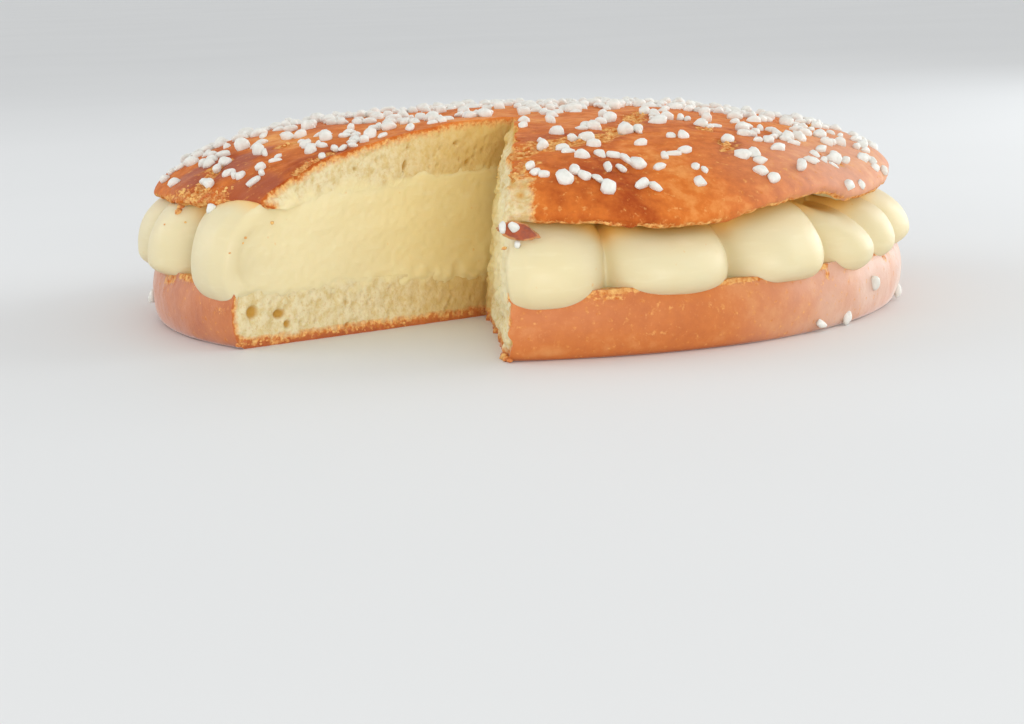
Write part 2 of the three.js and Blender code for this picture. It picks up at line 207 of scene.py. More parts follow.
# Open holes in the crumb of the left cut: distance from the apex, height, half sizes, depth
BASE_HOLES = [
    (85.4, 10.4, 2.5, 2.7, 2), (76.1, 8.9, 2.7, 1.8, 1.8), (73.4, 5.6, 1.6, 1.7, 1.7),
    (81.3, 16, 0.8, 0.9, 0.9), (57.1, 11.6, 2.2, 2.2, 0.7), (53.2, 9.9, 1.3, 2, 0.8),
    (52.8, 2.9, 0.9, 1, 2), (69.3, 5.8, 1.6, 0.8, 0.6), (77, 17.2, 1, 0.8, 0.8),
    (74.7, 15.6, 1.4, 0.9, 0.8), (72.4, 13.8, 1.2, 0.8, 0.6),
]
TOP_HOLES = [
    (37, 49, 0.9, 2, 1.8), (37.3, 46.8, 0.5, 0.8, 1.2), (19.7, 54.6, 1.4, 0.9, 1.4), (13.5, 48.4, 1, 1.2, 1),
    (46.9, 55, 1, 0.8, 0.8), (25.1, 48.4, 0.7, 0.7, 0.8), (56.8, 41.7, 0.5, 0.9, 0.8),
]


def chance(item, purpose):
    """A number from 0 to 1 that is always the same for an item and a purpose."""
    wave = np.sin(item * 127.1 + purpose * 311.7) * 43758.5453
    return wave - np.floor(wave)


def smooth(t):
    t = np.clip(t, 0, 1)
    return t * t * (3 - 2 * t)


def hashed(x, y, z, seed):
    """A number from 0 to 1 for each cell of a grid."""
    n = (x * 73856093) ^ (y * 19349663) ^ (z * 83492791) ^ (seed * 2654435761)
    n = n & 0xFFFFFFFF
    n = ((n ^ (n >> 13)) * 1274126177) & 0xFFFFFFFF
    return (n ^ (n >> 16)) / 4294967295.0


def noise(points, size, seed):
    """Smooth value noise from -1 to 1 at points in millimetres, for features of this size."""
    p = np.asarray(points, float) / size
    cell = np.floor(p).astype(np.int64)
    f = p - cell
    f = f * f * f * (f * (f * 6 - 15) + 10)
    total = np.zeros(len(p))
    for corner in range(8):
        step = (corner & 1, (corner >> 1) & 1, corner >> 2)
        weight = np.ones(len(p))
        for axis in range(3):
            weight = weight * (f[:, axis] if step[axis] else 1 - f[:, axis])
        total += weight * hashed(*(cell[:, k] + step[k] for k in range(3)), seed)
    return 2 * total - 1


def around(rows, angle):
    """The value at an angle, eased between rows of degrees and value."""
    degrees = np.degrees(angle) % 360
    keys = np.array([row[0] for row in rows] + [rows[0][0] + 360], float)
    values = np.array([row[1] for row in rows] + [rows[0][1]], float)
    i = np.clip(np.searchsorted(keys, degrees, side="right") - 1, 0, len(rows) - 1)
    return values[i] + (values[i + 1] - values[i]) * smooth((degrees - keys[i]) / (keys[i + 1] - keys[i]))


def polar(points):
    return np.hypot(points[:, 0], points[:, 1]), np.arctan2(points[:, 1], points[:, 0])


def plan_at(radius, angle):
    return radius * np.cos(angle), radius * np.sin(angle)


def near_left_cut(angle):
    """1 at the left cut, fading out round the cake."""
    away = angle - LEFT_CUT_AT
    return np.exp(-((np.arctan2(np.sin(away), np.cos(away)) / LEFT_CUT_PRESSED) ** 2))


def base_top(radius):
    return BASE_MIDDLE_HEIGHT + (BASE_EDGE_HEIGHT - BASE_MIDDLE_HEIGHT) * (radius / BASE_EDGE_RADIUS) ** 2


def base_wobble(angle):
    """How far the lower half stands out of a true circle."""
    return BASE_WOBBLE * (np.sin(3 * angle + 0.7) + 0.6 * np.sin(7 * angle + 2.1))


def lump(x, y):
    broad = np.sin(x / 19 + 0.6) * np.cos(y / 23 - 0.4)
    narrow = 0.7 * np.sin((x + 0.6 * y) / 12 + 1.9) * np.sin((y - 0.4 * x) / 15)
    return LUMP * (broad + narrow)


def crust_height(radius, angle):
    rim = around(RIM_RADIUS, angle)
    widest = around(RIM_HEIGHT, angle) + around(RIM_ROUND, angle)
    pressed = near_left_cut(angle)
    power = DOME_POWER + (CUT_DOME_POWER - DOME_POWER) * pressed
    rounding = DOME_ROUND + (CUT_DOME_ROUND - DOME_ROUND) * pressed
    swell = (1 - np.minimum(radius / rim, 1) ** power) ** rounding
    bumps = lump(*plan_at(radius, angle)) * swell
    return widest + (CROWN_HEIGHT - widest) * swell + bumps


def underside(radius, angle):
    edge = around(RIM_HEIGHT, angle)
    share = radius / (around(RIM_RADIUS, angle) - RIM_TUCK)
    return edge + (UNDERSIDE_HEIGHT - edge) * (1 - np.minimum(share, 1) ** 4)


def placed(name, data):
    made = bpy.data.objects.new(name, data)
    bpy.context.scene.collection.objects.link(made)
    return made


def mesh_object(name, points, faces, materials=(), face_slot=None):
    mesh = bpy.data.meshes.new(name)
    mesh.from_pydata((np.asarray(points) * MM).tolist(), [], [list(map(int, f)) for f in faces])
    for material in materials:
        mesh.materials.append(material)
    if face_slot is not None:
        mesh.polygons.foreach_set("material_index", np.asarray(face_slot, np.int32))
    mesh.polygons.foreach_set("use_smooth", np.ones(len(mesh.polygons), bool))
    mesh.update()
    return placed(name, mesh)


def band(a, b, count):
    """Quads between two rings whose points start at the numbers a and b."""
    i = np.arange(count)
    j = (i + 1) % count
    return np.stack([a + i, a + j, b + j, b + i], 1).tolist()


def turned(rings):
    """Closed surface of revolution. Each ring is (segments, function of angle giving radius and
    height); the first and last have one point. A ring may have half or twice its neighbour's."""
    points, starts, counts = [], [], []
    for count, at in rings:
        starts.append(sum(counts))
        counts.append(count)
        angle = np.arange(count) * (2 * math.pi / count)
        radius, height = at(angle)
        points.append(np.stack([*plan_at(radius, angle), height + 0 * angle], 1))
    faces, ring_of_face = [], []
    for k in range(len(rings) - 1):
        a, b, na, nb = starts[k], starts[k + 1], counts[k], counts[k + 1]
        before = len(faces)
        if na > nb:
            a, b, na, nb = b, a, nb, na
        if na == nb:
            faces += band(a, b, na)
        elif na == 1:
            faces += [(a, b + (i + 1) % nb, b + i) for i in range(nb)]
        else:
            for i in range(na):
                j, p, q, r = (i + 1) % na, 2 * i, 2 * i + 1, (2 * i + 2) % nb
                faces += [(b + q, b + p, a + i), (b + r, b + q, a + j), (a + i, a + j, b + q)]
        ring_of_face += [k] * (len(faces) - before)
    return np.concatenate(points), faces, np.array(ring_of_face), starts


def across(shares, radius_at, height_at):
    """Rings of a surface that meets the axis, each given by its share of the radius and its segments."""
    rings = []
    for share, count in shares:
        def ring(a, k=share):
            r = radius_at(a) * k
            return r, height_at(r, a)
        rings.append((count, ring))
    return rings


def closed(name, points, faces, materials, face_slot):
    """An object made of a closed mesh, with the faces turned outwards."""
    made = mesh_object(name, points, faces, materials, face_slot)
    bm = bmesh.new()
    bm.from_mesh(made.data)
    bmesh.ops.recalc_face_normals(bm, faces=bm.faces)
    bm.to_mesh(made.data)
    bm.free()
    return made


def coordinates(made):
    flat = np.empty(len(made.data.vertices) * 3)
    made.data.vertices.foreach_get("co", flat)
    return flat.reshape(-1, 3) / MM


def normals(made):
    flat = np.empty(len(made.data.vertices) * 3)
    made.data.vertex_normals.foreach_get("vector", flat)
    return flat.reshape(-1, 3)


def move_points(made, points):
    made.data.vertices.foreach_set("co", (points * MM).ravel())
    made.data.update()


def paint(made, **layers):
    """Stores a value for each point in named layers. A material reads 0 from a layer that isn't there."""
    for name, values in layers.items():
        layer = made.data.attributes.get(name) or made.data.attributes.new(name, "FLOAT", "POINT")
        layer.data.foreach_set("value", np.asarray(values, np.float32))


def cut_wall(side, z):
    """Apex of the missing slice at each height, the direction along a wall and the one into the cake."""
    z = np.atleast_1d(np.asarray(z, float))
    lean = (np.maximum(z, 0) / CROWN_HEIGHT) ** 2
    apex_x = APEX_X + APEX_LEAN * lean
    apex_y = LEFT_CUT_FOOT[1] + LEFT_CUT_SLOPE * (apex_x - LEFT_CUT_FOOT[0])
    apex = np.stack([apex_x, apex_y], 1)
    if side == LEFT:
        return apex, LEFT_ALONG + 0 * apex, LEFT_INTO + 0 * apex
    run = np.stack([FRONT_X + FRONT_LEAN * lean, FRONT_Y + 0 * lean], 1) - apex
    along = run / np.linalg.norm(run, axis=1)[:, None]
    return apex, along, np.stack([-along[:, 1], along[:, 0]], 1)


def on_wall(side, s, z):
    """Places in plan on a wall of the cut, at distances s from the apex and heights z."""
    apex, along, _ = cut_wall(side, z)
    return apex + np.reshape(s, (-1, 1)) * along


def clear_of_slice(x, y):
    """How far a place in plan keeps from the missing slice at the crown."""
    left = (y - LEFT_CUT_FOOT[1] - LEFT_CUT_SLOPE * (x - LEFT_CUT_FOOT[0])) / math.hypot(1, LEFT_CUT_SLOPE)
    return np.maximum(left, x - (APEX_X + APEX_LEAN))


def cutter(name, low, high, relief, materials, slot):
    """The missing slice between two heights as a closed tool whose walls carry the relief of the
    cut: relief(side, s, z) is how far it goes into the cake at distance s from the apex."""
    levels = np.arange(low, high + CUT_GRID, CUT_GRID)
    steps = np.arange(0, CUT_LENGTH, CUT_GRID)
    s, z = (grid.ravel() for grid in np.meshgrid(steps, levels))
    ends = (z == levels[0]) | (z == levels[-1])
    fade = smooth(s / 3) * ~ends
    walls, far = [], []
    for side in (LEFT, RIGHT):
        into = cut_wall(side, z)[2]
        wall = on_wall(side, s, z) + (relief(side, s, z) * fade)[:, None] * into
        walls.append(wall.reshape(len(levels), len(steps), 2))
        far.append(on_wall(side, CUT_REACH, levels)[:, None])
    ring = np.concatenate([far[0], walls[0][:, ::-1], walls[1][:, 1:], far[1]], 1)
    n = ring.shape[1]
    points = np.column_stack([ring.reshape(-1, 2), np.repeat(levels, n)])
    last = len(points) - n
    faces = [range(n), range(last, last + n)]
    for start in range(0, last, n):
        faces += band(start, start + n, n)
    return closed(name, points, faces, materials, [slot] * len(faces))


def cut(made, tool):
    """Takes a tool out of a mesh and leaves sharp edges between its slots."""
    modifier = made.modifiers.new("cut", "BOOLEAN")
    modifier.operation = "DIFFERENCE"
    modifier.object = tool
    modifier.solver = "MANIFOLD"
    result = bpy.data.meshes.new_from_object(made.evaluated_get(bpy.context.evaluated_depsgraph_get()))
    made.modifiers.remove(modifier)
    old, spent = made.data, tool.data
    made.data = result
    result.name = made.name
    bpy.data.objects.remove(tool)
    bpy.data.meshes.remove(old)
    bpy.data.meshes.remove(spent)
    bm = bmesh.new()
    bm.from_mesh(result)
    bmesh.ops.remove_doubles(bm, verts=bm.verts, dist=0.02 * MM)
    bmesh.ops.dissolve_degenerate(bm, edges=bm.edges, dist=0.01 * MM)
    for edge in bm.edges:
        edge.smooth = len({f.material_index for f in edge.link_faces}) == 1
    bm.to_mesh(result)
    bm.free()


def slot_points(made):
    """For each material slot, which points belong to a face in it."""
    mesh = made.data
    touched = np.zeros((len(mesh.materials), len(mesh.vertices)), bool)
    for polygon in mesh.polygons:
        touched[polygon.material_index, list(polygon.vertices)] = True
    return touched


def nearest(points, targets):
    """For each point the nearest target, its number and its distance."""
    tree = kdtree.KDTree(len(targets))
    for i, p in enumerate(targets):
        tree.insert(p, i)
    tree.balance()
    return [tree.find(p) for p in points]


def distance_to(points, targets):
    return np.array([distance for _, _, distance in nearest(points, targets)])


def wall_depth(points):
    """How far each point lies behind the plane of the cut that it is nearest to."""
    depths = []
    for side in (LEFT, RIGHT):
        apex, _, into = cut_wall(side, points[:, 2])
        depths.append(((points[:, :2] - apex) * into).sum(1))
    return np.where(np.abs(depths[0]) < np.abs(depths[1]), depths[0], depths[1])


def crack_field(points, wider=1):
    """How much each point lies in a crack, from 0 to 1, or in a crack so many times as wide."""
    lines = list(CRACKS)
    for i in range(MORE_CRACKS):
        middle = np.array(plan_at(45 + 62 * chance(i, 62), chance(i, 61) * 2.6 + 0.1))
        step = np.array(plan_at(5 + 7 * chance(i, 64), chance(i, 63) * math.pi))
        lines.append(((middle - step, middle + step), 1.4 + 1.2 * chance(i, 65)))
    shake = np.stack([noise(points, 5, 71), noise(points, 5, 72)], 1) * 2.2
    plan = points[:, :2] + shake + np.stack([noise(points, 1.8, 73), noise(points, 1.8, 74)], 1) * 0.8
    field = np.zeros(len(points))
    for line, width in lines:
        for start, end in zip(line, line[1:]):
            start, end = np.array(start, float), np.array(end, float)
            run = end - start
            t = np.clip(((plan - start) @ run) / (run @ run), 0, 1)
            away = np.hypot(*(plan - start - t[:, None] * run).T)
            field = np.maximum(field, smooth(1.25 - away / (width * wider)))
    return field


# Materials

MIX_SHARE, MIX_A, MIX_B, MIX_RESULT = 0, 6, 7, 2


class Look:
    """A material whose colours and relief are worked out by nodes from places in millimetres."""

    def __init__(self, name):
        self.material = bpy.data.materials.new(name)
        self.material.use_nodes = True
        self.tree = self.material.node_tree
        self.shader = self.tree.nodes["Principled BSDF"]
        self.where = self.node("ShaderNodeTexCoord").outputs["Object"]

    def link(self, socket, value):
        if isinstance(value, bpy.types.NodeSocket):
            self.tree.links.new(value, socket)
        else:
            socket.default_value = value

    def node(self, kind, inputs=(), **settings):
        made = self.tree.nodes.new(kind)
        for key, value in settings.items():
            setattr(made, key, value)
        for key, value in dict(inputs).items():
            self.link(made.inputs[key], value)
        return made

    def give(self, name, value):
        self.link(self.shader.inputs[name], value)

    def painted(self, name):
        return self.node("ShaderNodeAttribute", attribute_name=name).outputs["Fac"]

    def noise(self, size, detail=2, rough=0.5, stretch=None):
        where = self.where
        if stretch is not None:
            where = self.node("ShaderNodeMapping", {"Vector": where, "Scale": stretch}).outputs["Vector"]
        inputs = {"Vector": where, "Scale": 1 / (size * MM), "Detail": detail, "Roughness": rough}
        return self.node("ShaderNodeTexNoise", inputs).outputs["Fac"]

    def spread(self, value, low, high, to_low=0, to_high=1):
        inputs = {"Value": value, "From Min": low, "From Max": high, "To Min": to_low, "To Max": to_high}
        return self.node("ShaderNodeMapRange", inputs).outputs["Result"]

    def math(self, operation, a, b):
        return self.node("ShaderNodeMath", {0: a, 1: b}, operation=operation).outputs[0]

    def add(self, a, b):
        return self.math("ADD", a, b)

    def times(self, a, b):
        return self.math("MULTIPLY", a, b)

    def blend(self, share, a, b):
        inputs = {MIX_SHARE: share, MIX_A: a, MIX_B: b}
        return self.node("ShaderNodeMix", inputs, data_type="RGBA").outputs[MIX_RESULT]

    def coated(self, color, *coats):
        """A colour with others laid over it, each by its share."""
        for share, coat in coats:
            color = self.blend(share, color, coat)
        return color

    def bump(self, height, distance, strength=1, after=None):
        inputs = {"Height": height, "Distance": distance * MM, "Strength": strength}
        if after is not None:
            inputs["Normal"] = after
        return self.node("ShaderNodeBump", inputs).outputs["Normal"]

    def translucent(self, weight, *radii):
        self.give("Subsurface Weight", weight)
        self.give("Subsurface Radius", [radius * MM for radius in radii])
        self.give("Subsurface Scale", 1)


def srgb(r, g, b):
    def linear(c):
        c /= 255
        return c / 12.92 if c <= 0.04045 else ((c + 0.055) / 1.055) ** 2.4
    return (linear(r), linear(g), linear(b), 1)


CRUMB = srgb(232, 218, 178)
CRUMB_DEEP = srgb(218, 197, 144)
# Golden shade painted on the crumb deep in the cut, towards the apex
CRUMB_INNER = srgb(220, 182, 100)
CRUMB_HOLE = srgb(200, 156, 76)
BAKED_DARK, BAKED_PALE = srgb(204, 116, 50), srgb(244, 192, 118)
SPLIT_DARK, SPLIT_PALE = srgb(206, 114, 48), srgb(248, 196, 122)
# Pale colour painted over the crust as the window's reflection, a painted sheen
BLOOM = srgb(220, 190, 172)
# The second of these is the golden shade painted on the cream deep in the cut
CREAM_PALE, CREAM_DEEP = srgb(225, 213, 174), srgb(242, 214, 130)
# The first of these is painted light: paler cream on the cut towards its open end
CREAM_WIPED, CREAM_STREAK = srgb(244, 230, 183), srgb(242, 233, 200)
# The first of these is golden shade painted on the cream tucked under the rim
CREAM_TUCKED, CREAM_SPECK = srgb(252, 190, 84), srgb(232, 176, 84)
SUGAR_DARK, SUGAR_PALE = srgb(222, 221, 212), srgb(236, 235, 228)
FLOOR_DARK, FLOOR_PALE = (0.75, 0.755, 0.75, 1), (0.77, 0.775, 0.77, 1)


def brioche_material(name, mid, dark, pale, roughness, specular, sheen, specks, mottling):
    look = Look(name)
    split, gloss = look.painted("split"), look.painted("gloss")
    mottle = look.noise(4, 4, 0.62)
    speck = look.noise(1.1, 2, 0.6)
    clouds = look.spread(look.noise(20, 3, 0.55), 0.32, 0.7, -0.35 * mottling, 0.4 * mottling)
    uneven = look.spread(mottle, 0.3, 0.7, -0.35 * mottling, 0.35 * mottling)
    uneven = look.times(uneven, look.spread(gloss, 0, 1, 1, 0.3))
    # Browning, with some painted shade in it, darkens the crust
    tone = look.add(look.add(clouds, look.painted("bake")), uneven)
    rough_split = look.add(split, look.spread(speck, 0.3, 0.7, -0.3, 0.3))
    flakes = look.blend(look.spread(look.noise(1.6, 3), 0.36, 0.64), SPLIT_DARK, SPLIT_PALE)
    crust = look.coated(
        mid,
        (look.spread(tone, 0, 1), dark),
        (look.spread(tone, 0, -0.8), pale),
        (look.spread(speck, 0.6, 0.78, 0, specks), pale),
        # painted sheen: the window's reflection, and a faint gloss on the shiny skin
        (look.painted("bloom"), BLOOM),
        (look.spread(rough_split, 0.3, 0.6, 0, 0.95), flakes))

    fibre = look.noise(1.9, 4, 0.6, (1, 1, 0.8))
    sponge = look.noise(1, 3, 0.65)
    # Cream smeared on the crumb, with golden painted shade deepening inwards
    deep = look.spread(look.painted("cream_depth"), 0, 1, 0.09, 0.69)
    # Painted light: cream smeared on the crumb is paler where it lies shallower
    wiped = look.spread(deep, 0.09, 0.69, 0.75, 0.2)
    smeared = look.coated(CREAM_PALE, (deep, CREAM_DEEP), (wiped, CREAM_WIPED))
    crumb = look.coated(
        CRUMB_DEEP,
        (look.spread(fibre, 0.36, 0.58), CRUMB),
        (look.spread(sponge, 0.54, 0.7, 0, 0.38), CRUMB_HOLE),
        # painted shade: golden towards the apex of the cut
        (look.painted("inner"), CRUMB_INNER),
        # painted shade: darker in the hollows of the cut; on the torn patch, its mottled tone
        (look.painted("pore"), CRUMB_HOLE),
        (look.painted("smear"), smeared))

    frayed = look.spread(look.noise(1.8, 3), 0.3, 0.7, -0.4, 0.4)
    ragged = look.add(look.painted("depth"), frayed)
    baked = look.blend(look.spread(speck, 0.35, 0.65), BAKED_DARK, BAKED_PALE)
    baked_edge = look.blend(look.spread(ragged, 0.5, 1.8), baked, crumb)
    bare = look.spread(ragged, 0.2, 0.6)
    look.give("Base Color", look.blend(bare, crust, baked_edge))

    rough = look.spread(mottle, 0.3, 0.7, roughness - 0.06, roughness + 0.06)
    rough = look.math("SUBTRACT", rough, look.spread(gloss, 0, 1, 0, 0.14))
    rough = look.add(rough, look.spread(rough_split, 0.25, 0.9, 0, 0.2))
    look.give("Roughness", look.add(rough, look.spread(ragged, 0.2, 0.6, 0, 0.3)))
    relief = look.bump(mottle, 0.3, 0.5)
    relief = look.bump(look.noise(0.6, 3, 0.6), 0.09, 0.6, relief)
    relief = look.bump(look.times(look.noise(1.3, 4, 0.65), split), 1.4, 0.8, relief)
    relief = look.bump(look.times(fibre, bare), 0.5, 0.45, relief)
    look.give("Normal", look.bump(look.times(sponge, bare), -0.5, 0.5, relief))
    dull = look.math("MAXIMUM", bare, look.spread(rough_split, 0.3, 0.6))
    shine = look.spread(gloss, 0, 1, specular, 0.1)
    look.give("Specular IOR Level", look.add(shine, look.spread(dull, 0, 1, 0, -0.8 * specular)))
    look.give("Sheen Weight", look.spread(dull, 0, 1, sheen, 0))
    look.give("Sheen Roughness", 0.3)
    look.translucent(0.1, 2.4, 1.3, 0.6)
    return look.material


def cream_material():
    look = Look("pastry_cream")
    smear = look.noise(4, 3, 0.5, (0.5, 0.5, 2.2))
    broad = look.spread(look.noise(26), 0.3, 0.7, 0, 0.18)
    share = look.add(broad, look.spread(look.painted("inner"), 0, 1, 0, 0.6))
    look.give("Base Color", look.coated(
        CREAM_PALE,
        # painted shade: golden deep inside the cut
        (share, CREAM_DEEP),
        (look.spread(smear, 0.55, 0.8, 0, 0.25), CREAM_STREAK),
        # painted light: paler on the cut towards its open end
        (look.painted("wiped"), CREAM_WIPED),
        # painted shade: golden on the cream under the rim
        (look.painted("tucked"), CREAM_TUCKED),
        (look.spread(look.noise(2.2, 1), 0.76, 0.82, 0, 0.4), CREAM_SPECK)))
    look.give("Roughness", look.spread(smear, 0.3, 0.7, 0.4, 0.55))
    look.give("Normal", look.bump(look.noise(0.8), 0.05, 0.4, look.bump(smear, 0.22, 0.3)))
    look.translucent(0.35, 2.2, 1.8, 1.4)
    return look.material


def sugar_material():
    look = Look("pearl_sugar")
    cloud = look.noise(1.6, 3)
    grit = look.noise(0.35, 2, 0.7)
    look.give("Base Color", look.blend(look.spread(cloud, 0.3, 0.7), SUGAR_DARK, SUGAR_PALE))
    look.give("Roughness", look.spread(grit, 0.3, 0.7, 0.5, 0.75))
    look.give("Normal", look.bump(cloud, 0.3, 0.5, look.bump(grit, 0.12, 0.6)))
    look.translucent(0.15, 1.2, 1.2, 1.1)
    return look.material


def crumb_material(name, dark, pale, roughness):
    look = Look(name)
    tone = look.noise(3, 3)
    color = look.blend(look.spread(tone, 0.38, 0.62), dark, pale)
    look.give("Base Color", look.blend(look.painted("edge"), color, SPLIT_PALE))
    look.give("Roughness", look.spread(tone, 0.3, 0.7, roughness - 0.1, roughness + 0.1))
    look.give("Normal", look.bump(look.noise(0.5), 0.15, 0.7))
    return look.material


TOP_LOOK = brioche_material(
    "top_crust", mid=srgb(214, 118, 48), dark=srgb(166, 72, 28), pale=srgb(238, 166, 92),
    roughness=0.6, specular=0.08, sheen=0.02, specks=0.12, mottling=1)
BASE_LOOK = brioche_material(
    "base_crust", mid=srgb(206, 119, 54), dark=srgb(178, 90, 46), pale=srgb(228, 163, 98),
    roughness=0.5, specular=0.45, sheen=0.6, specks=0.28, mottling=0.6)
CREAM_LOOK = cream_material()
SUGAR_LOOK = sugar_material()
CRUMB_LOOK = crumb_material("crumbs", srgb(208, 118, 52), srgb(242, 196, 118), roughness=0.7)
SCRAP_LOOK = crumb_material("scrap_crust", srgb(120, 42, 10), srgb(172, 76, 24), roughness=0.5)


# Relief of the cuts

def crumb_relief(seed, low, high, count, holes, rough, from_cream):
    """Soft torn crumb with small pores all over and a few larger holes in the left cut."""
    draw = np.random.default_rng(seed)

    def relief(side, s, z):
        where = np.stack([s, z, np.full(len(s), 40.0 * seed + 17 * side)], 1)
        total = (0.25 + rough[side]) * noise(where, 7, seed)
        total += (0.2 + rough[side]) * noise(where, 2.8, seed + 1)
        total += (0.16 + rough[side] / 2) * noise(where * (1, 0.7, 1), 1.4, seed + 2)
        wide = draw.uniform(0.3, 0.85, count)
        small = np.stack([draw.uniform(3, 120, count), draw.uniform(low, high, count), wide,
                          wide * draw.uniform(0.7, 1.5, count), wide * draw.uniform(0.4, 0.9, count)], 1)
        for at, height, half_s, half_z, deep in list(small) + (list(holes) if side == LEFT else []):
            near = np.nonzero((np.abs(s - at) < half_s * 1.2) & (np.abs(z - height) < half_z * 1.2))[0]
            out = np.hypot((s[near] - at) / half_s, (z[near] - height) / half_z)
            total[near] += deep * smooth(1.1 * (1.1 - out))
        if side == RIGHT:
            return total
        return total * (0.2 + 0.8 * smooth(from_cream(np.column_stack([on_wall(side, s, z), z])) / 5))
    return relief


def lobe_at(angle):
    """Number of the dollop at each angle and the place in it, from -0.5 to 0.5."""
    turn = LOBE_CREASES[0] + (angle - LOBE_CREASES[0]) % (2 * math.pi)
    index = np.clip(np.searchsorted(LOBE_CREASES, turn, side="right") - 1, 0, len(LOBE_LOW) - 1)
    off = (turn - LOBE_CREASES[index]) / (LOBE_CREASES[index + 1] - LOBE_CREASES[index]) - 0.5
    return index, np.clip(off, -0.5, 0.5)


def lobe_blend(values, index, off):
    """A value for each dollop that passes smoothly into the next one's."""
    here = values[index]
    other = values[(index + np.sign(off).astype(int)) % len(values)]
    return here + (other - here) * 0.5 * smooth((np.abs(off) - 0.2) / 0.3)


def leftward(angle):
    return smooth(0.5 - np.cos(angle))


def lobe_section(angle):
    """Upright section of the ring of dollops: reach, rise, drop and the power of its upper half."""
    index, off = lobe_at(angle)
    bulge = (1 - (2 * np.abs(off) * LOBE_CREASE) ** LOBE_POWER) ** (1 / LOBE_POWER)
    each = np.arange(len(LOBE_LOW))
    longer = LOBE_UNEVEN * (chance(each, 1) - 0.5) - SHORT_LOBE_BY * (each == SHORT_LOBE)
    reach = LOBE_LENGTH * bulge + lobe_blend(longer, index, off)
    low = lobe_blend(LOBE_LOW, index, off)
    drop = (LOBE_MIDDLE - low) / LOBE_HANG * (0.6 + 0.4 * bulge)
    lowered = lobe_blend(np.where(each == LOW_LOBE, LOW_LOBE_RISE, 1), index, off)
    left = leftward(angle)
    to_rim = (around(RIM_HEIGHT, angle) + 0.5 - LOBE_MIDDLE) / (1 - LOBE_FULLER * left)
    dip = LOBE_DIP * (1 - 0.5 * left) * (1 - smooth(bulge / 0.8))
    return reach, to_rim * lowered * (1 - dip), drop, UPPER_POWER + (LEFT_UPPER_POWER - UPPER_POWER) * left


def lobe_point(angle, turn):
    """Radius and height of the dollops at a turn round their section, from below to above."""
    reach, rise, drop, upper = lobe_section(angle)
    power = upper if turn > 0 else LOWER_POWER + 0 * angle
    c, s = abs(math.cos(turn)), abs(math.sin(turn))
    height = (rise if turn > 0 else -drop) * s ** (2 / power)
    return LOBE_REACH - LOBE_LENGTH + reach * c ** (2 / power), LOBE_MIDDLE + height


def cream_relief(side, s, z):
    """Cream smeared by the knife, feathering out over the crumb, with a soft fold at the left end."""
    radius, angle = polar(on_wall(side, s, z))
    where = np.stack([s, z, np.full(len(s), 31.0 * side)], 1)
    uneven = 0.9 * noise(where * (1, 0.3, 1), 6, 94) + 0.6 * noise(where, 2.2, 95)
    from_base = z - base_top(radius) + 6 + uneven + 6 * smooth((radius - 117.5) / 1.5)
    past_rim = 6 * smooth((radius - around(RIM_RADIUS, angle) + 3) / 2)
    from_top = underside(radius, angle) - z + 6 + uneven + past_rim
    shown = smooth(from_base / 5) * smooth(from_top / 5)
    tilted = where * (0.4, 1.2, 1) + np.outer(s, (0, 0.12, 0))
    strokes = 0.3 * noise(tilted, 6, 91) + 0.2 * noise(where, 9, 92) + 0.1 * noise(where, 1.8, 93)
    dabs = smooth((12 - from_base) / 8) * smooth((60 - s) / 30)
    strokes += 0.5 * dabs * noise(where, 3.2, 96)
    strokes += 1.1 * (side == RIGHT) * (noise(where, 4, 97) + 0.6 * noise(where, 1.7, 98))
    fold = np.hypot(s - FOLD_AT, 1.1 * (z - FOLD_HEIGHT)) - FOLD_RADIUS
    ridge = FOLD_RISE * np.exp(-((fold / FOLD_WIDTH) ** 2)) * smooth((s - FOLD_AT - 4) / 5) * (side == LEFT)
    return (strokes - 0.08 - ridge) * shown + 0.9 * (1 - shown)


def cream_depth(points):
    """How far inside the cake the cream lies, from 0 at the dollops to 1; it sets the painted golden shade.
    """
    return smooth((CREAM_DEEP_FROM - polar(points)[0]) / CREAM_DEEP_OVER)


def relax(made, weight, rounds):
    """Rounds off a mesh: each point moves towards the middle of its neighbours, by its weight."""
    mesh = made.data
    ends = np.empty(len(mesh.edges) * 2, np.int64)
    mesh.edges.foreach_get("vertices", ends)
    a, b = ends.reshape(-1, 2).T
    near = (weight[a] > 0) | (weight[b] > 0)
    a, b = a[near], b[near]
    points = coordinates(made)
    count = np.maximum(np.bincount(a, minlength=len(points)) + np.bincount(b, minlength=len(points)), 1)
    for _ in range(rounds):
        for axis in range(3):
            value = points[:, axis]
            total = np.bincount(a, value[b], len(points)) + np.bincount(b, value[a], len(points))
            points[:, axis] = value + 0.5 * weight * (total / count - value)
    move_points(made, points)


def finish_brioche(made, thickness, bake, split, from_cream):
    """Paints how deep under the crust each point of a cut lies, painted shade in its holes and towards the
    apex, and its browning with painted shade.
    """
    points = coordinates(made)
    crust, cut_face, split_face = slot_points(made)
    depth = np.where(split_face & ~crust, UNBAKED, 0)
    inner = cut_face & ~crust
    depth[inner] = distance_to(points[inner], points[crust & cut_face]) / thickness(points[inner])
    # Painted shade: darker where the cut lies deeper, in its holes and pits
    pore = inner * smooth((wall_depth(points) - 0.35) / 1.2)
    # Painted shade: the crumb of a cut is painted golden and darker towards the apex
    yellow = inner * 0.85 * smooth((80 - polar(points)[0]) / 55)
    smeared = 1.1 - from_cream(points) / 3.2 + 0.7 * noise(points, 2.6, 21) + 0.4 * noise(points, 6, 22)
    paint(made, inner=yellow, smear=inner * smooth(smeared), cream_depth=cream_depth(points))
    paint(made, bake=bake(points))
    return points, crust, depth, pore, crust * split(points)


# Lower half

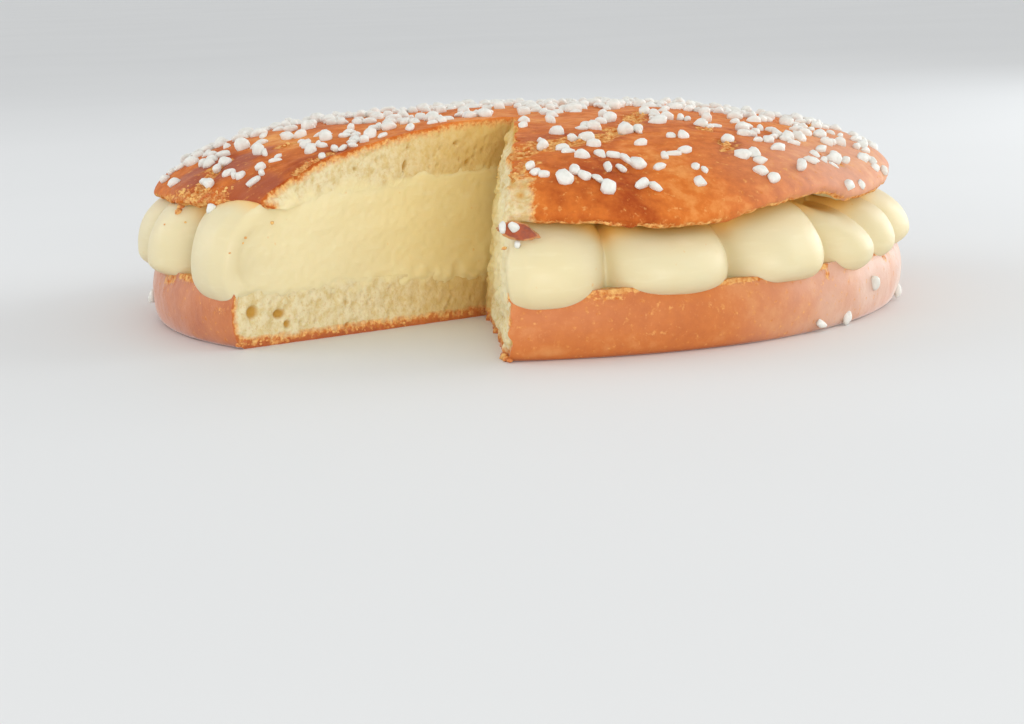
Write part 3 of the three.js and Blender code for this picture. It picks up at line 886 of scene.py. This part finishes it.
def base_rings():
    n = BASE_AROUND
    shares = [(0, 1), (0.25, n // 4), (0.6, n // 2), (0.9, n)]
    rings = across(shares, lambda a: FOOT_RADIUS + base_wobble(a), lambda r, a: 0 * r)
    for turn in np.linspace(0, math.pi / 2, 15):
        def corner(a, t=turn):
            r = FOOT_RADIUS + (BASE_RADIUS - FOOT_RADIUS) * math.sin(t)
            return r + base_wobble(a), BASE_WIDEST_AT * (1 - math.cos(t))
        rings.append((n, corner))
    for t in np.linspace(0, 1, 12)[1:]:
        def side(a, t=t):
            r = BASE_RADIUS + (BASE_EDGE_RADIUS - BASE_RADIUS) * t * t
            return r + base_wobble(a), BASE_WIDEST_AT + (BASE_EDGE_HEIGHT - BASE_WIDEST_AT) * t
        rings.append((n, side))
    first_top = len(rings) - 1
    shares = [(0.96, n), (0.85, n), (0.6, n // 2), (0.3, n // 4), (0, 1)]
    rings += across(shares, lambda a: BASE_EDGE_RADIUS + 0 * a, lambda r, a: base_top(r))
    return rings, first_top


def base_flakes(points):
    """Rough golden skin along the split and here and there down the side."""
    top = smooth((points[:, 2] - BASE_EDGE_HEIGHT + 2.2) / 1.6)
    patches = smooth((noise(points, 9, 15) - 0.55) / 0.3) * smooth((points[:, 2] - 8) / 6)
    return np.maximum(top * smooth(noise(points, 5, 16) + 0.8), 0.6 * patches)


def hazy(points):
    """1 on the side towards the window, where its reflection is painted pale on the crust."""
    turn = np.degrees(polar(points)[1])
    return smooth((turn - HAZE_FROM) / HAZE_RISE) * smooth((HAZE_TO - turn) / HAZE_FADE)


def under_cream(points):
    return base_top(polar(points)[0]) - points[:, 2]


def make_base():
    rings, first_top = base_rings()
    points, faces, ring, _ = turned(rings)
    slot = np.where(ring >= first_top, SPLIT_FACE, CRUST)
    made = closed("brioche_base_visual", points, faces, [BASE_LOOK] * 3, slot)
    points, out = coordinates(made), normals(made)
    side = smooth((polar(points)[0] - 112) / 4) * smooth(points[:, 2] / 1.5)
    push = 0.4 * noise(points, 12, 11) + 0.06 * noise(points, 3.5, 12)
    push += 0.02 * noise(points, 1.6, 13) + base_flakes(points) * 0.3 * noise(points, 2, 17)
    points += out * (push * side)[:, None]
    points[:, 2] = np.maximum(points[:, 2], 0)
    move_points(made, points)
    relief = crumb_relief(
        seed=20, low=1, high=18, count=240, holes=BASE_HOLES, rough=(0.05, 1), from_cream=under_cream)
    cut(made, cutter("base_tool", *BASE_CUT, relief, [BASE_LOOK] * 3, CUT_FACE))

    def bake(points):
        # Darker at the bottom from baking; darker on the left as painted shade
        low = smooth(1 - points[:, 2] / 2.2)
        left = smooth(-points[:, 0] / 60)
        return 0.5 * low + 0.12 * noise(points, 7, 14) + 0.5 * left

    def thickness(points):
        low = smooth((4.8 - points[:, 2]) / 3) * (1 + 0.8 * noise(points, 2.4, 18))
        return BASE_CRUST + BASE_BOTTOM_CRUST * low
    points, crust, depth, pore, split = finish_brioche(made, thickness, bake, base_flakes, under_cream)
    # Painted sheen: the window's pale reflection on the side towards it, and a little on the far left
    dusty = np.maximum(hazy(points), 0.12 * smooth((-60 - points[:, 0]) / 50))
    bloom = crust * dusty * (0.62 + 0.2 * noise(points, 8, 19))
    browned = smooth((polar(points)[0] - 111) / 3) * smooth((points[:, 2] - BASE_EDGE_HEIGHT + 2) / 0.6)
    browned *= depth == UNBAKED
    depth += (EDGE_DEPTH - depth) * browned
    paint(made, depth=depth, pore=pore, split=np.maximum(browned, split), bloom=bloom)
    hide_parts("brioche_base")
    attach(made, "root")


# Upper half

def top_rings():
    n = TOP_AROUND

    def count_at(radius):
        return n if radius > 58 else n // 2 if radius > 29 else n // 4 if radius > 13 else n // 8
    widest = max(radius for _, radius in RIM_RADIUS)
    shares = list(np.linspace(0.012, 0.9, 84)) + [1 - 0.1 * (1 - t) ** 2 for t in np.linspace(0, 1, 22)[1:]]
    shares = [(0, 1)] + [(share, count_at(share * widest)) for share in shares]
    rings = across(shares, lambda a: around(RIM_RADIUS, a), crust_height)
    first_smooth = len(rings) - SMOOTHED_RINGS
    for turn in np.linspace(0, math.pi / 2, 9)[1:]:
        def roll(a, t=turn):
            r = around(RIM_RADIUS, a) - RIM_TUCK * (1 - math.cos(t))
            return r, around(RIM_HEIGHT, a) + around(RIM_ROUND, a) * (1 - math.sin(t))
        rings.append((n, roll))
    first_under = len(rings) - 1
    shares = [(0.985, n), (0.95, n), (0.88, n // 2), (0.7, n // 4), (0.4, n // 8), (0, 1)]
    rings += across(shares, lambda a: around(RIM_RADIUS, a) - RIM_TUCK, underside)
    return rings, first_smooth, first_under


def above_rim(points):
    return points[:, 2] - around(RIM_HEIGHT, polar(points)[1])


def torn_corner(points):
    """1 where the crust is torn off the rim beside the right cut."""
    x, y, z = points.T
    right = TORN_RIGHT + 1.1 * noise(points, 3, 81)
    top = TORN_TOP + 1.6 * noise(points, 3.4, 82)
    return smooth((right - x) / 4) * smooth((top - z) / 5) * (y < TORN_BACK) * (x > TORN_LEFT)


def top_split(points):
    """Golden flaky skin in the cracks and along the lower edge, widest on the left."""
    left = smooth(1 - np.abs(np.degrees(polar(points)[1]) % 360 - TORN_RIM_AT) / TORN_RIM_HALF)
    width = 2 + 4 * left * (1 + 0.5 * noise(points, 5, 39))
    rim = smooth(1.1 - above_rim(points) / width) * smooth(noise(points, 5, 37) + 0.9)
    return np.maximum(crack_field(points) * smooth((above_rim(points) - 1) / 3), rim)


def over_cream(points):
    return points[:, 2] - underside(*polar(points))


def smooth_skin(points):
    """1 where the skin of the crust has stayed whole and shiny."""
    shake = 0.25 * noise(points, 6, 44)
    skin = np.zeros(len(points))
    for (x, y), size in SMOOTH_SKIN:
        away = np.hypot(points[:, 0] - x, points[:, 1] - y) / size
        skin = np.maximum(skin, smooth((1.35 - away + shake) / 0.6))
    return skin


def make_top():
    rings, first_smooth, first_under = top_rings()
    points, faces, ring, starts = turned(rings)
    edge = points[starts[first_smooth]:starts[first_under + 1]].reshape(-1, TOP_AROUND, 3)
    for _ in range(SMOOTHINGS):
        edge[1:-1] += 0.5 * ((edge[:-2] + edge[2:]) / 2 - edge[1:-1])
    slot = np.where(ring >= first_under, SPLIT_FACE, CRUST)
    made = closed("brioche_top_visual", points, faces, [TOP_LOOK] * 3, slot)
    points, out = coordinates(made), normals(made)
    split = top_split(points)
    push = 0.5 * noise(points, 15, 31) + 0.22 * noise(points, 6, 32) + 0.08 * noise(points, 2.6, 33)
    push += split * (0.8 * noise(points, 2.6, 34) + 0.4 * noise(points, 1.6, 38) - 0.6)
    push -= torn_corner(points) * (1.2 + 0.35 * noise(points, 2, 83))
    points += out * (push * smooth(above_rim(points) / 2 + 0.4))[:, None]
    points[:, 2] += smooth(1 - np.abs(above_rim(points)) / 2) * 0.6 * noise(points, 3, 35)
    radius, angle = polar(points)
    hang = np.exp(-(((radius - SAG_AT) / SAG_HALF) ** 2)) * near_left_cut(angle) ** 4
    points[:, 2] -= SAG * hang * (points[:, 2] < underside(radius, angle) + 1)
    move_points(made, points)
    crumb = crumb_relief(
        seed=50, low=40, high=60, count=360, holes=TOP_HOLES, rough=(0.1, 1.2), from_cream=over_cream)

    def relief(side, s, z):
        if side == LEFT:
            away = np.hypot((s - CURL_AT) / CURL_HALF_LENGTH, (z - CURL_HEIGHT) / CURL_HALF_HEIGHT)
            return crumb(side, s, z) - CURL_OUT * smooth(1.3 - away)
        under_crust = crust_height(*polar(on_wall(side, s, z))) - z
        return crumb(side, s, z) + 1.5 * smooth(1 - under_crust / 5)
    cut(made, cutter("top_tool", *TOP_CUT, relief, [TOP_LOOK] * 3, CUT_FACE))

    def bake(points):
        # Darker to the left and in scorched places; lips by the cracks: browned skin plus painted shade
        value = 0.15 * noise(points, 30, 36) + 0.3 * smooth((-40 - points[:, 0]) / 30)
        for (x, y), size, strength in SCORCHED:
            value += strength * np.exp(-(((points[:, 0] - x) ** 2 + (points[:, 1] - y) ** 2) / size ** 2))
        lips = crack_field(points, 1.9) - crack_field(points)
        return value + 0.5 * smooth_skin(points) + 0.6 * lips
    points, crust, depth, pore, split = finish_brioche(
        made, lambda points: TOP_CRUST, bake, top_split, over_cream)
    skin = crust * smooth_skin(points) * (1 - split)
    # Painted sheen: the window's reflection on the outer crust towards it, and faintly on the shiny skin
    outer = smooth((polar(points)[0] - 84) / 26) * hazy(points)
    torn = torn_corner(points)
    # On the torn patch the same layer gives the torn crumb its darker mottled tone
    pore = np.where(crust, torn * smooth(0.3 + 0.5 * noise(points, 2.4, 84)), pore)
    paint(made, gloss=skin, bloom=crust * (0.04 * skin + 0.45 * outer))
    paint(made, depth=np.maximum(depth, TORN_DEPTH * torn), pore=pore, split=split)
    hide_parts("brioche_top")
    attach(made, "root")
    return made


# Cream

def cream_rings():
    n = CREAM_AROUND
    shares = [(0, 1), (0.1, n // 8), (0.35, n // 4), (0.7, n // 2), (0.93, n), (0.985, n)]
    rings = across(shares, lambda a: BASE_EDGE_RADIUS + 0 * a, lambda r, a: base_top(r) - CREAM_OVERLAP)
    for turn in LOBE_TURNS:
        rings.append((n, lambda a, t=turn: lobe_point(a, t)))
    shares = [(0.84, n), (0.8, n // 2), (0.5, n // 4), (0.2, n // 8), (0, 1)]
    rings += across(shares, lambda a: CREAM_TOP_RADIUS + 0 * a, lambda r, a: underside(r, a) + CREAM_OVERLAP)
    return rings


def make_cream():
    points, faces, _, _ = turned(cream_rings())
    made = closed("cream_visual", points, faces, [CREAM_LOOK] * 2, [CRUST] * len(faces))
    points, out = coordinates(made), normals(made)
    push = 0.4 * noise(points, 13, 41) + 0.12 * noise(points, 5, 42)
    radius = polar(points)[0]
    points += out * (push * smooth((radius - 100) / 8))[:, None]
    lowest = base_top(radius) - CREAM_OVERLAP
    within = smooth((BASE_EDGE_RADIUS - 1 - radius) / 2.5)
    points[:, 2] += within * np.maximum(lowest - points[:, 2], 0)
    move_points(made, points)
    cut(made, cutter("cream_tool", *CREAM_CUT, cream_relief, [CREAM_LOOK] * 2, CUT_FACE))
    for edge in made.data.edges:
        edge.use_edge_sharp = False
    points = coordinates(made)
    outside, cut_face = slot_points(made)
    radius, angle = polar(points)
    free = ((points[:, 2] > base_top(radius)) | (radius > BASE_EDGE_RADIUS)) & (radius > 96)
    free &= (points[:, 2] < underside(radius, angle) - 0.5) | (radius > around(RIM_RADIUS, angle) - RIM_TUCK)
    weight = np.zeros(len(points))
    weight[free] = smooth(1.2 - distance_to(points[free], points[outside & cut_face & free]) / CORNER_ROUND)
    relax(made, weight, rounds=140)
    points = coordinates(made)
    radius, angle = polar(points)
    # Painted shade: a golden tint on the cream tucked under the rim, where the rim shades it
    under_rim = smooth((points[:, 2] - around(RIM_HEIGHT, angle) + 9) / 8) * smooth((115 - radius) / 9)
    # Painted shade: the cream turns golden deeper inside the cut
    deep = cream_depth(points)
    # Painted light: the cream of the cut is painted paler towards its open end, less so deep inside
    wiped = smooth((121 - radius + 3 * noise(points, 6, 43)) / 26) * (0.75 - 0.55 * deep)
    paint(made, inner=deep, wiped=cut_face * wiped, tucked=~cut_face * 0.9 * under_rim)
    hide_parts("cream_filling")
    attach(made, "root")


# Pearl sugar, crumbs and the scrap of crust

def ball(subdivisions):
    bm = bmesh.new()
    bmesh.ops.create_icosphere(bm, subdivisions=subdivisions, radius=1)
    points = np.array([v.co[:] for v in bm.verts])
    faces = np.array([[v.index for v in f.verts] for f in bm.faces])
    bm.free()
    return points, faces


BALL_POINTS, BALL_FACES = ball(2)
CRUMB_POINTS, CRUMB_FACES = ball(1)


def turn_about_z(angle):
    c, s = math.cos(angle), math.sin(angle)
    return np.array([[c, -s, 0], [s, c, 0], [0, 0, 1]])


def stand_on(normal):
    return np.array(Vector((0, 0, 1)).rotation_difference(Vector(normal)).to_matrix())


def grain(index, at, normal, half_length):
    """Points of one chipped grain lying on a surface."""
    slender = chance(index, 20) if index >= FINE_FROM else 0.6 * (SIDE_FROM <= index < LOOSE_FROM)
    long, slim = 0.92 + 0.36 * slender, 0.94 - 0.3 * slender
    half = np.array([long * half_length, slim * half_length * (0.62 + 0.3 * chance(index, 11)),
                     slim * half_length * (0.58 + 0.24 * chance(index, 12))])
    power = 2.5 + 1.2 * chance(index, 21)
    p = BALL_POINTS * ((np.abs(BALL_POINTS) ** power).sum(1) ** (-1 / power))[:, None]
    for k in range(SUGAR_CHIPS):
        turn, lift = chance(index, 22 + k) * 2 * math.pi, chance(index, 32 + k) * 1.7 - 0.6
        way = np.array([math.cos(turn), math.sin(turn), lift])
        way /= np.linalg.norm(way)
        p = p - 0.8 * np.maximum(p @ way - 0.72, 0)[:, None] * way
    p = p * (1 + 0.12 * noise(p + index * 3.7, 0.7, 15))[:, None] * half
    p = p @ turn_about_z(chance(index, 13) * 2 * math.pi).T @ stand_on(normal).T
    return p + np.asarray(at) + np.asarray(normal) * half[2] * SUGAR_SUNK


def crust_point(radius, angle):
    height = crust_height(np.array([radius]), np.array([angle]))[0]
    return np.array([*plan_at(radius, angle), height])


def crust_normal(radius, angle):
    at = crust_point(radius, angle)
    outward = at - crust_point(radius - 1.5, angle)
    sideways = crust_point(radius, angle + 1.5 / radius) - at
    up = np.cross(outward, sideways)
    return at, up / np.linalg.norm(up)


def rim_at(angle):
    return float(around(RIM_RADIUS, np.array([angle]))[0])


def add_grain(found, index, x, y, size):
    """Puts a grain on the crust unless it would lie off it or in another grain."""
    radius, angle = math.hypot(x, y), math.atan2(y, x)
    if not 4 < radius < rim_at(angle) - 2.5 or clear_of_slice(x, y) < size + 0.6:
        return
    at, normal = crust_normal(radius, angle)
    if all(np.linalg.norm(at - other) > 0.66 * (size + half) for _, other, _, half in found):
        found.append((index, at, normal, size))


def sugar_places():
    """The grains that the solids carry, then finer ones between them, some in pairs."""
    found = []
    for i in range(SUGAR_COUNT):
        shake_out = SUGAR_SPREAD * (2 * chance(i, 4) - 1)
        shake_round = SUGAR_SPREAD * (2 * chance(i, 5) - 1)
        even = SUGAR_RADIUS * math.sqrt((i + 0.5) / SUGAR_COUNT)
        radius = min(abs(even + shake_out), SUGAR_RADIUS)
        angle = i * GOLDEN_ANGLE + shake_round / max(radius, 8)
        at, normal = crust_normal(min(radius, rim_at(angle) - 3), angle)
        if clear_of_slice(at[0], at[1]) >= SUGAR_CLEAR:
            size = SUGAR_SMALLEST + (SUGAR_LARGEST - SUGAR_SMALLEST) * chance(i, 6)
            found.append((i, at, normal, size))
    for k in range(FINE_SUGAR):
        shake = 4 * (2 * chance(k, 41) - 1)
        radius = SUGAR_RADIUS * math.sqrt((k + 0.5) / FINE_SUGAR) + shake
        angle = k * GOLDEN_ANGLE + 1.3 + shake / max(radius, 8)
        size = FINE_SMALLEST + (FINE_LARGEST - FINE_SMALLEST) * chance(k, 42)
        x, y = plan_at(radius, angle)
        wanted = 0.25 + 0.45 * smooth((x - 45) / 35) if x > 0 and y < -20 else 0.72
        if chance(k, 43) < wanted:
            turn = chance(k, 45) * 2 * math.pi
            for row in range(1 + (chance(k, 44) < 0.6) + (chance(k, 46) < 0.35)):
                add_grain(found, FINE_FROM * (row + 1) + k, x, y, size * (1 - 0.08 * row))
                x, y = x + 1.5 * size * math.cos(turn), y + 1.5 * size * math.sin(turn)
                turn += 1.6 * chance(k, 47) - 0.8
    for i, (degrees, inset, size) in enumerate(RIM_SUGAR):
        angle = math.radians(degrees)
        at, normal = crust_normal(rim_at(angle) - inset, angle)
        found.append((RIM_FROM + i, at, normal, size))
    for i, (degrees, height) in enumerate(SIDE_SUGAR):
        angle = math.radians(degrees)
        bulge = math.sqrt(max(0, 1 - (1 - height / BASE_WIDEST_AT) ** 2))
        radius = FOOT_RADIUS + (BASE_RADIUS - FOOT_RADIUS) * bulge + float(base_wobble(angle))
        normal = np.array([math.cos(angle), math.sin(angle), 0])
        found.append((SIDE_FROM + i, radius * normal + (0, 0, height), normal, SUGAR_SMALLEST))
    return found


def joined(name, shapes, faces, look):
    """One mesh out of many point sets with the same faces."""
    count = len(shapes[0])
    all_faces = np.concatenate([faces + k * count for k in range(len(shapes))])
    made = mesh_object(name, np.concatenate(shapes), all_faces, [look])
    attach(made, "root")
    return made


SCRAP_TURN = (Matrix.Rotation(-SCRAP_ROLL, 3, "Y") @ Matrix.Rotation(math.pi / 2 - SCRAP_LEAN, 3, "X"))


def on_scrap(x, y, z):
    return np.array(SCRAP_AT) + np.array(SCRAP_TURN @ Vector((x, y, z)))


def make_sugar():
    shapes = [grain(*place) for place in sugar_places()]
    up = np.array(SCRAP_TURN @ Vector((0, 0, 1)))
    on_left = on_scrap(-0.4 * SCRAP_LENGTH, 0.08 * SCRAP_WIDTH, SCRAP_THICKNESS)
    on_middle = on_scrap(-0.14 * SCRAP_LENGTH, 0.24 * SCRAP_WIDTH, SCRAP_THICKNESS)
    shapes.append(grain(LOOSE_FROM + 1, on_left, up, SCRAP_SUGAR))
    shapes.append(grain(LOOSE_FROM + 2, on_middle, up, 0.9 * SCRAP_SUGAR))
    for k, (degrees, height, size) in enumerate(LOOSE_GRAINS):
        at = on_ring(degrees, height)
        shapes.append(grain(LOOSE_FROM + 3 + k, at, at * (1, 1, 0) / np.hypot(*at[:2]), size))
    made = joined("pearl_sugar", shapes, BALL_FACES, SUGAR_LOOK)


def make_scrap():
    """A ragged chip of crust, widest on the left, golden along its broken edges."""
    points, faces = ball(5)
    length, across, thick = points.T
    taper = 1 - 0.62 * np.maximum(length, 0) ** 1.3 - 0.12 * np.minimum(length, 0) ** 2
    rim = np.hypot(length, across)
    ragged = 1 + rim ** 4 * (0.1 * noise(points, 0.3, 18) + 0.07 * noise(points, 0.12, 23))
    p = np.stack([SCRAP_LENGTH / 2 * length * ragged,
                  SCRAP_WIDTH / 2 * across * taper * ragged + 0.3 * (1 - length ** 2),
                  SCRAP_THICKNESS / 2 * (1 + np.sign(thick) * np.abs(thick) ** 0.6)], 1)
    p[:, 2] += 0.35 * across ** 2 - 0.3 * length ** 2 + 0.2 * noise(p, 2.2, 24)
    edge = smooth((rim - 0.82 + 0.12 * noise(p, 1.2, 25)) / 0.16) + smooth(-4 * thick)
    p = p @ np.array(SCRAP_TURN).T + np.array(SCRAP_AT)
    made = mesh_object("crust_scrap_visual", p, faces, [SCRAP_LOOK])
    paint(made, edge=0.4 * np.clip(edge, 0, 1))
    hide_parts("crust_scrap")
    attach(made, "root")


def on_ring(degrees, height):
    angle = np.array([math.radians(degrees)])
    reach, rise, _, power = (float(v[0]) for v in lobe_section(angle))
    share = min(max(height - LOBE_MIDDLE, 0) / rise, 1)
    radius = LOBE_REACH - LOBE_LENGTH + reach * (1 - share ** power) ** (1 / power)
    return np.array([*plan_at(radius, angle[0]), height])


def on_left_cut(distance, height):
    return np.append(on_wall(LEFT, distance, height), height)


def skin_crumbs(top):
    """Golden crumbs where the skin of the crust is torn: along its cracks and on the left of its rim."""
    draw = np.random.default_rng(7)
    plan = []
    for line, width in CRACKS:
        for start, end in zip(np.array(line, float), np.array(line[1:], float)):
            count = int(SKIN_CRUMBS_PER_MM * np.hypot(*(end - start)))
            along = draw.uniform(0, 1, (count, 1))
            plan.append(start + along * (end - start) + draw.normal(0, 0.4 * width, (count, 2)))
    angle = np.radians(draw.uniform(RIM_CRUMBS_FROM, RIM_CRUMBS_TO, RIM_CRUMBS))
    radius = around(RIM_RADIUS, angle) - 5 * draw.uniform(0, 1, RIM_CRUMBS) ** 2
    plan.append(np.stack(plan_at(radius, angle), 1))
    plan = np.concatenate(plan)
    found = nearest(np.column_stack([plan, crust_height(*polar(plan))]), coordinates(top))
    return [(np.array(at), size) for (at, _, _), size in zip(found, draw.uniform(0.3, 0.75, len(plan)))]


def make_crumbs(top):
    """Crumbs of crust on the cream at the left, at the foot of the right cut and on the torn skin."""
    spots = [(on_ring(degrees, height), size) for degrees, height, size in RING_CRUMBS]
    spots += [(on_left_cut(distance, height), size) for distance, height, size in CUT_CRUMBS]
    spots += [(np.array([x, y, z]), size) for x, y, z, size in FOOT_CRUMBS]
    for k in range(EDGE_CRUMBS):
        size = 0.35 + 0.4 * chance(k, 54)
        spots.append((on_left_cut(91 - 62 * chance(k, 55) ** 1.6, 0.6 + 1.6 * chance(k, 56)), size))
    spots += skin_crumbs(top)
    shapes = []
    for k, (at, size) in enumerate(spots):
        half = size * np.array([1, 0.7 + 0.3 * chance(k, 51), 0.6 + 0.3 * chance(k, 52)])
        p = CRUMB_POINTS * (1 + 0.3 * noise(CRUMB_POINTS + 9.3 * k, 0.9, 19))[:, None] * half
        shapes.append(p @ turn_about_z(6.28 * chance(k, 53)).T + at)
    made = joined("crumbs", shapes, CRUMB_FACES, CRUMB_LOOK)


# Stage, light and camera

FLOOR_HALF = 40000
SKY_COLOR, SKY_STRENGTH = (0.97, 0.985, 1, 1), 0.78
# Lights: name, place and size in metres, watts and colour
LIGHTS = [
    ("right", (1.1, 0.35, 0.5), 0.9, 5.2, (1, 0.99, 0.97)),
    ("back_right", (1, 0.8, 0.2), 0.8, 4.8, (0.86, 0.93, 1)),
    ("left", (-1.1, 0.25, 0.5), 0.9, 2.8, (0.97, 0.98, 1)),
    ("front", (0.2, -1.1, 0.06), 0.5, 5.4, (1, 0.99, 0.97)),
    ("front_left", (-0.8, -0.9, 0.4), 0.8, 1.2, (1, 0.99, 0.97)),
]
LIGHTS_TOWARDS = Vector((0, 0, 0.03))
# Camera of the photo: place in metres, degrees turned down, to the right and over, focal length in its pixels
CAMERA_AT = (0.0023, -0.7437, 0.1088)
CAMERA_TURNS = (9.86, -0.56, -1.75)
FOCAL_PIXELS, PHOTO_WIDTH = 2300, 1024
SENSOR_WIDTH = 36


def make_stage():
    look = Look("floor_pale")
    cloud = look.spread(look.noise(300), 0.3, 0.7)
    look.give("Base Color", look.blend(cloud, FLOOR_DARK, FLOOR_PALE))
    look.give("Roughness", 0.6)
    corners = FLOOR_HALF * np.array([(-1, -1, 0), (1, -1, 0), (1, 1, 0), (-1, 1, 0)])
    floor = mesh_object("floor", corners, [(0, 1, 2, 3)], [look.material])


def make_light():
    world = bpy.data.worlds.new("studio")
    world.use_nodes = True
    back = world.node_tree.nodes["Background"]
    back.inputs["Color"].default_value = SKY_COLOR
    back.inputs["Strength"].default_value = SKY_STRENGTH
    bpy.context.scene.world = world
    for name, at, size, watts, color in LIGHTS:
        light = bpy.data.lights.new(name, "AREA")
        light.shape = "DISK"
        light.size = size
        light.energy = watts
        light.color = color
        made = placed(name, light)
        made.location = at
        made.rotation_euler = (LIGHTS_TOWARDS - Vector(at)).to_track_quat("-Z", "Y").to_euler()
    bpy.context.scene.view_settings.view_transform = "Standard"


def make_camera():
    pitch, yaw, roll = (math.radians(turn) for turn in CAMERA_TURNS)
    turn = Matrix.Rotation(-yaw, 4, "Z") @ Matrix.Rotation(math.pi / 2 - pitch, 4, "X")
    camera = bpy.data.cameras.new("camera")
    camera.sensor_width = SENSOR_WIDTH
    camera.lens = SENSOR_WIDTH * FOCAL_PIXELS / PHOTO_WIDTH
    camera.clip_start = 0.01
    made = placed("camera", camera)
    made.matrix_world = Matrix.Translation(CAMERA_AT) @ turn @ Matrix.Rotation(roll, 4, "Z")
    bpy.context.scene.camera = made


make_camera()
make_light()
make_stage()
make_base()
make_cream()
top = make_top()
make_sugar()
make_scrap()
make_crumbs(top)
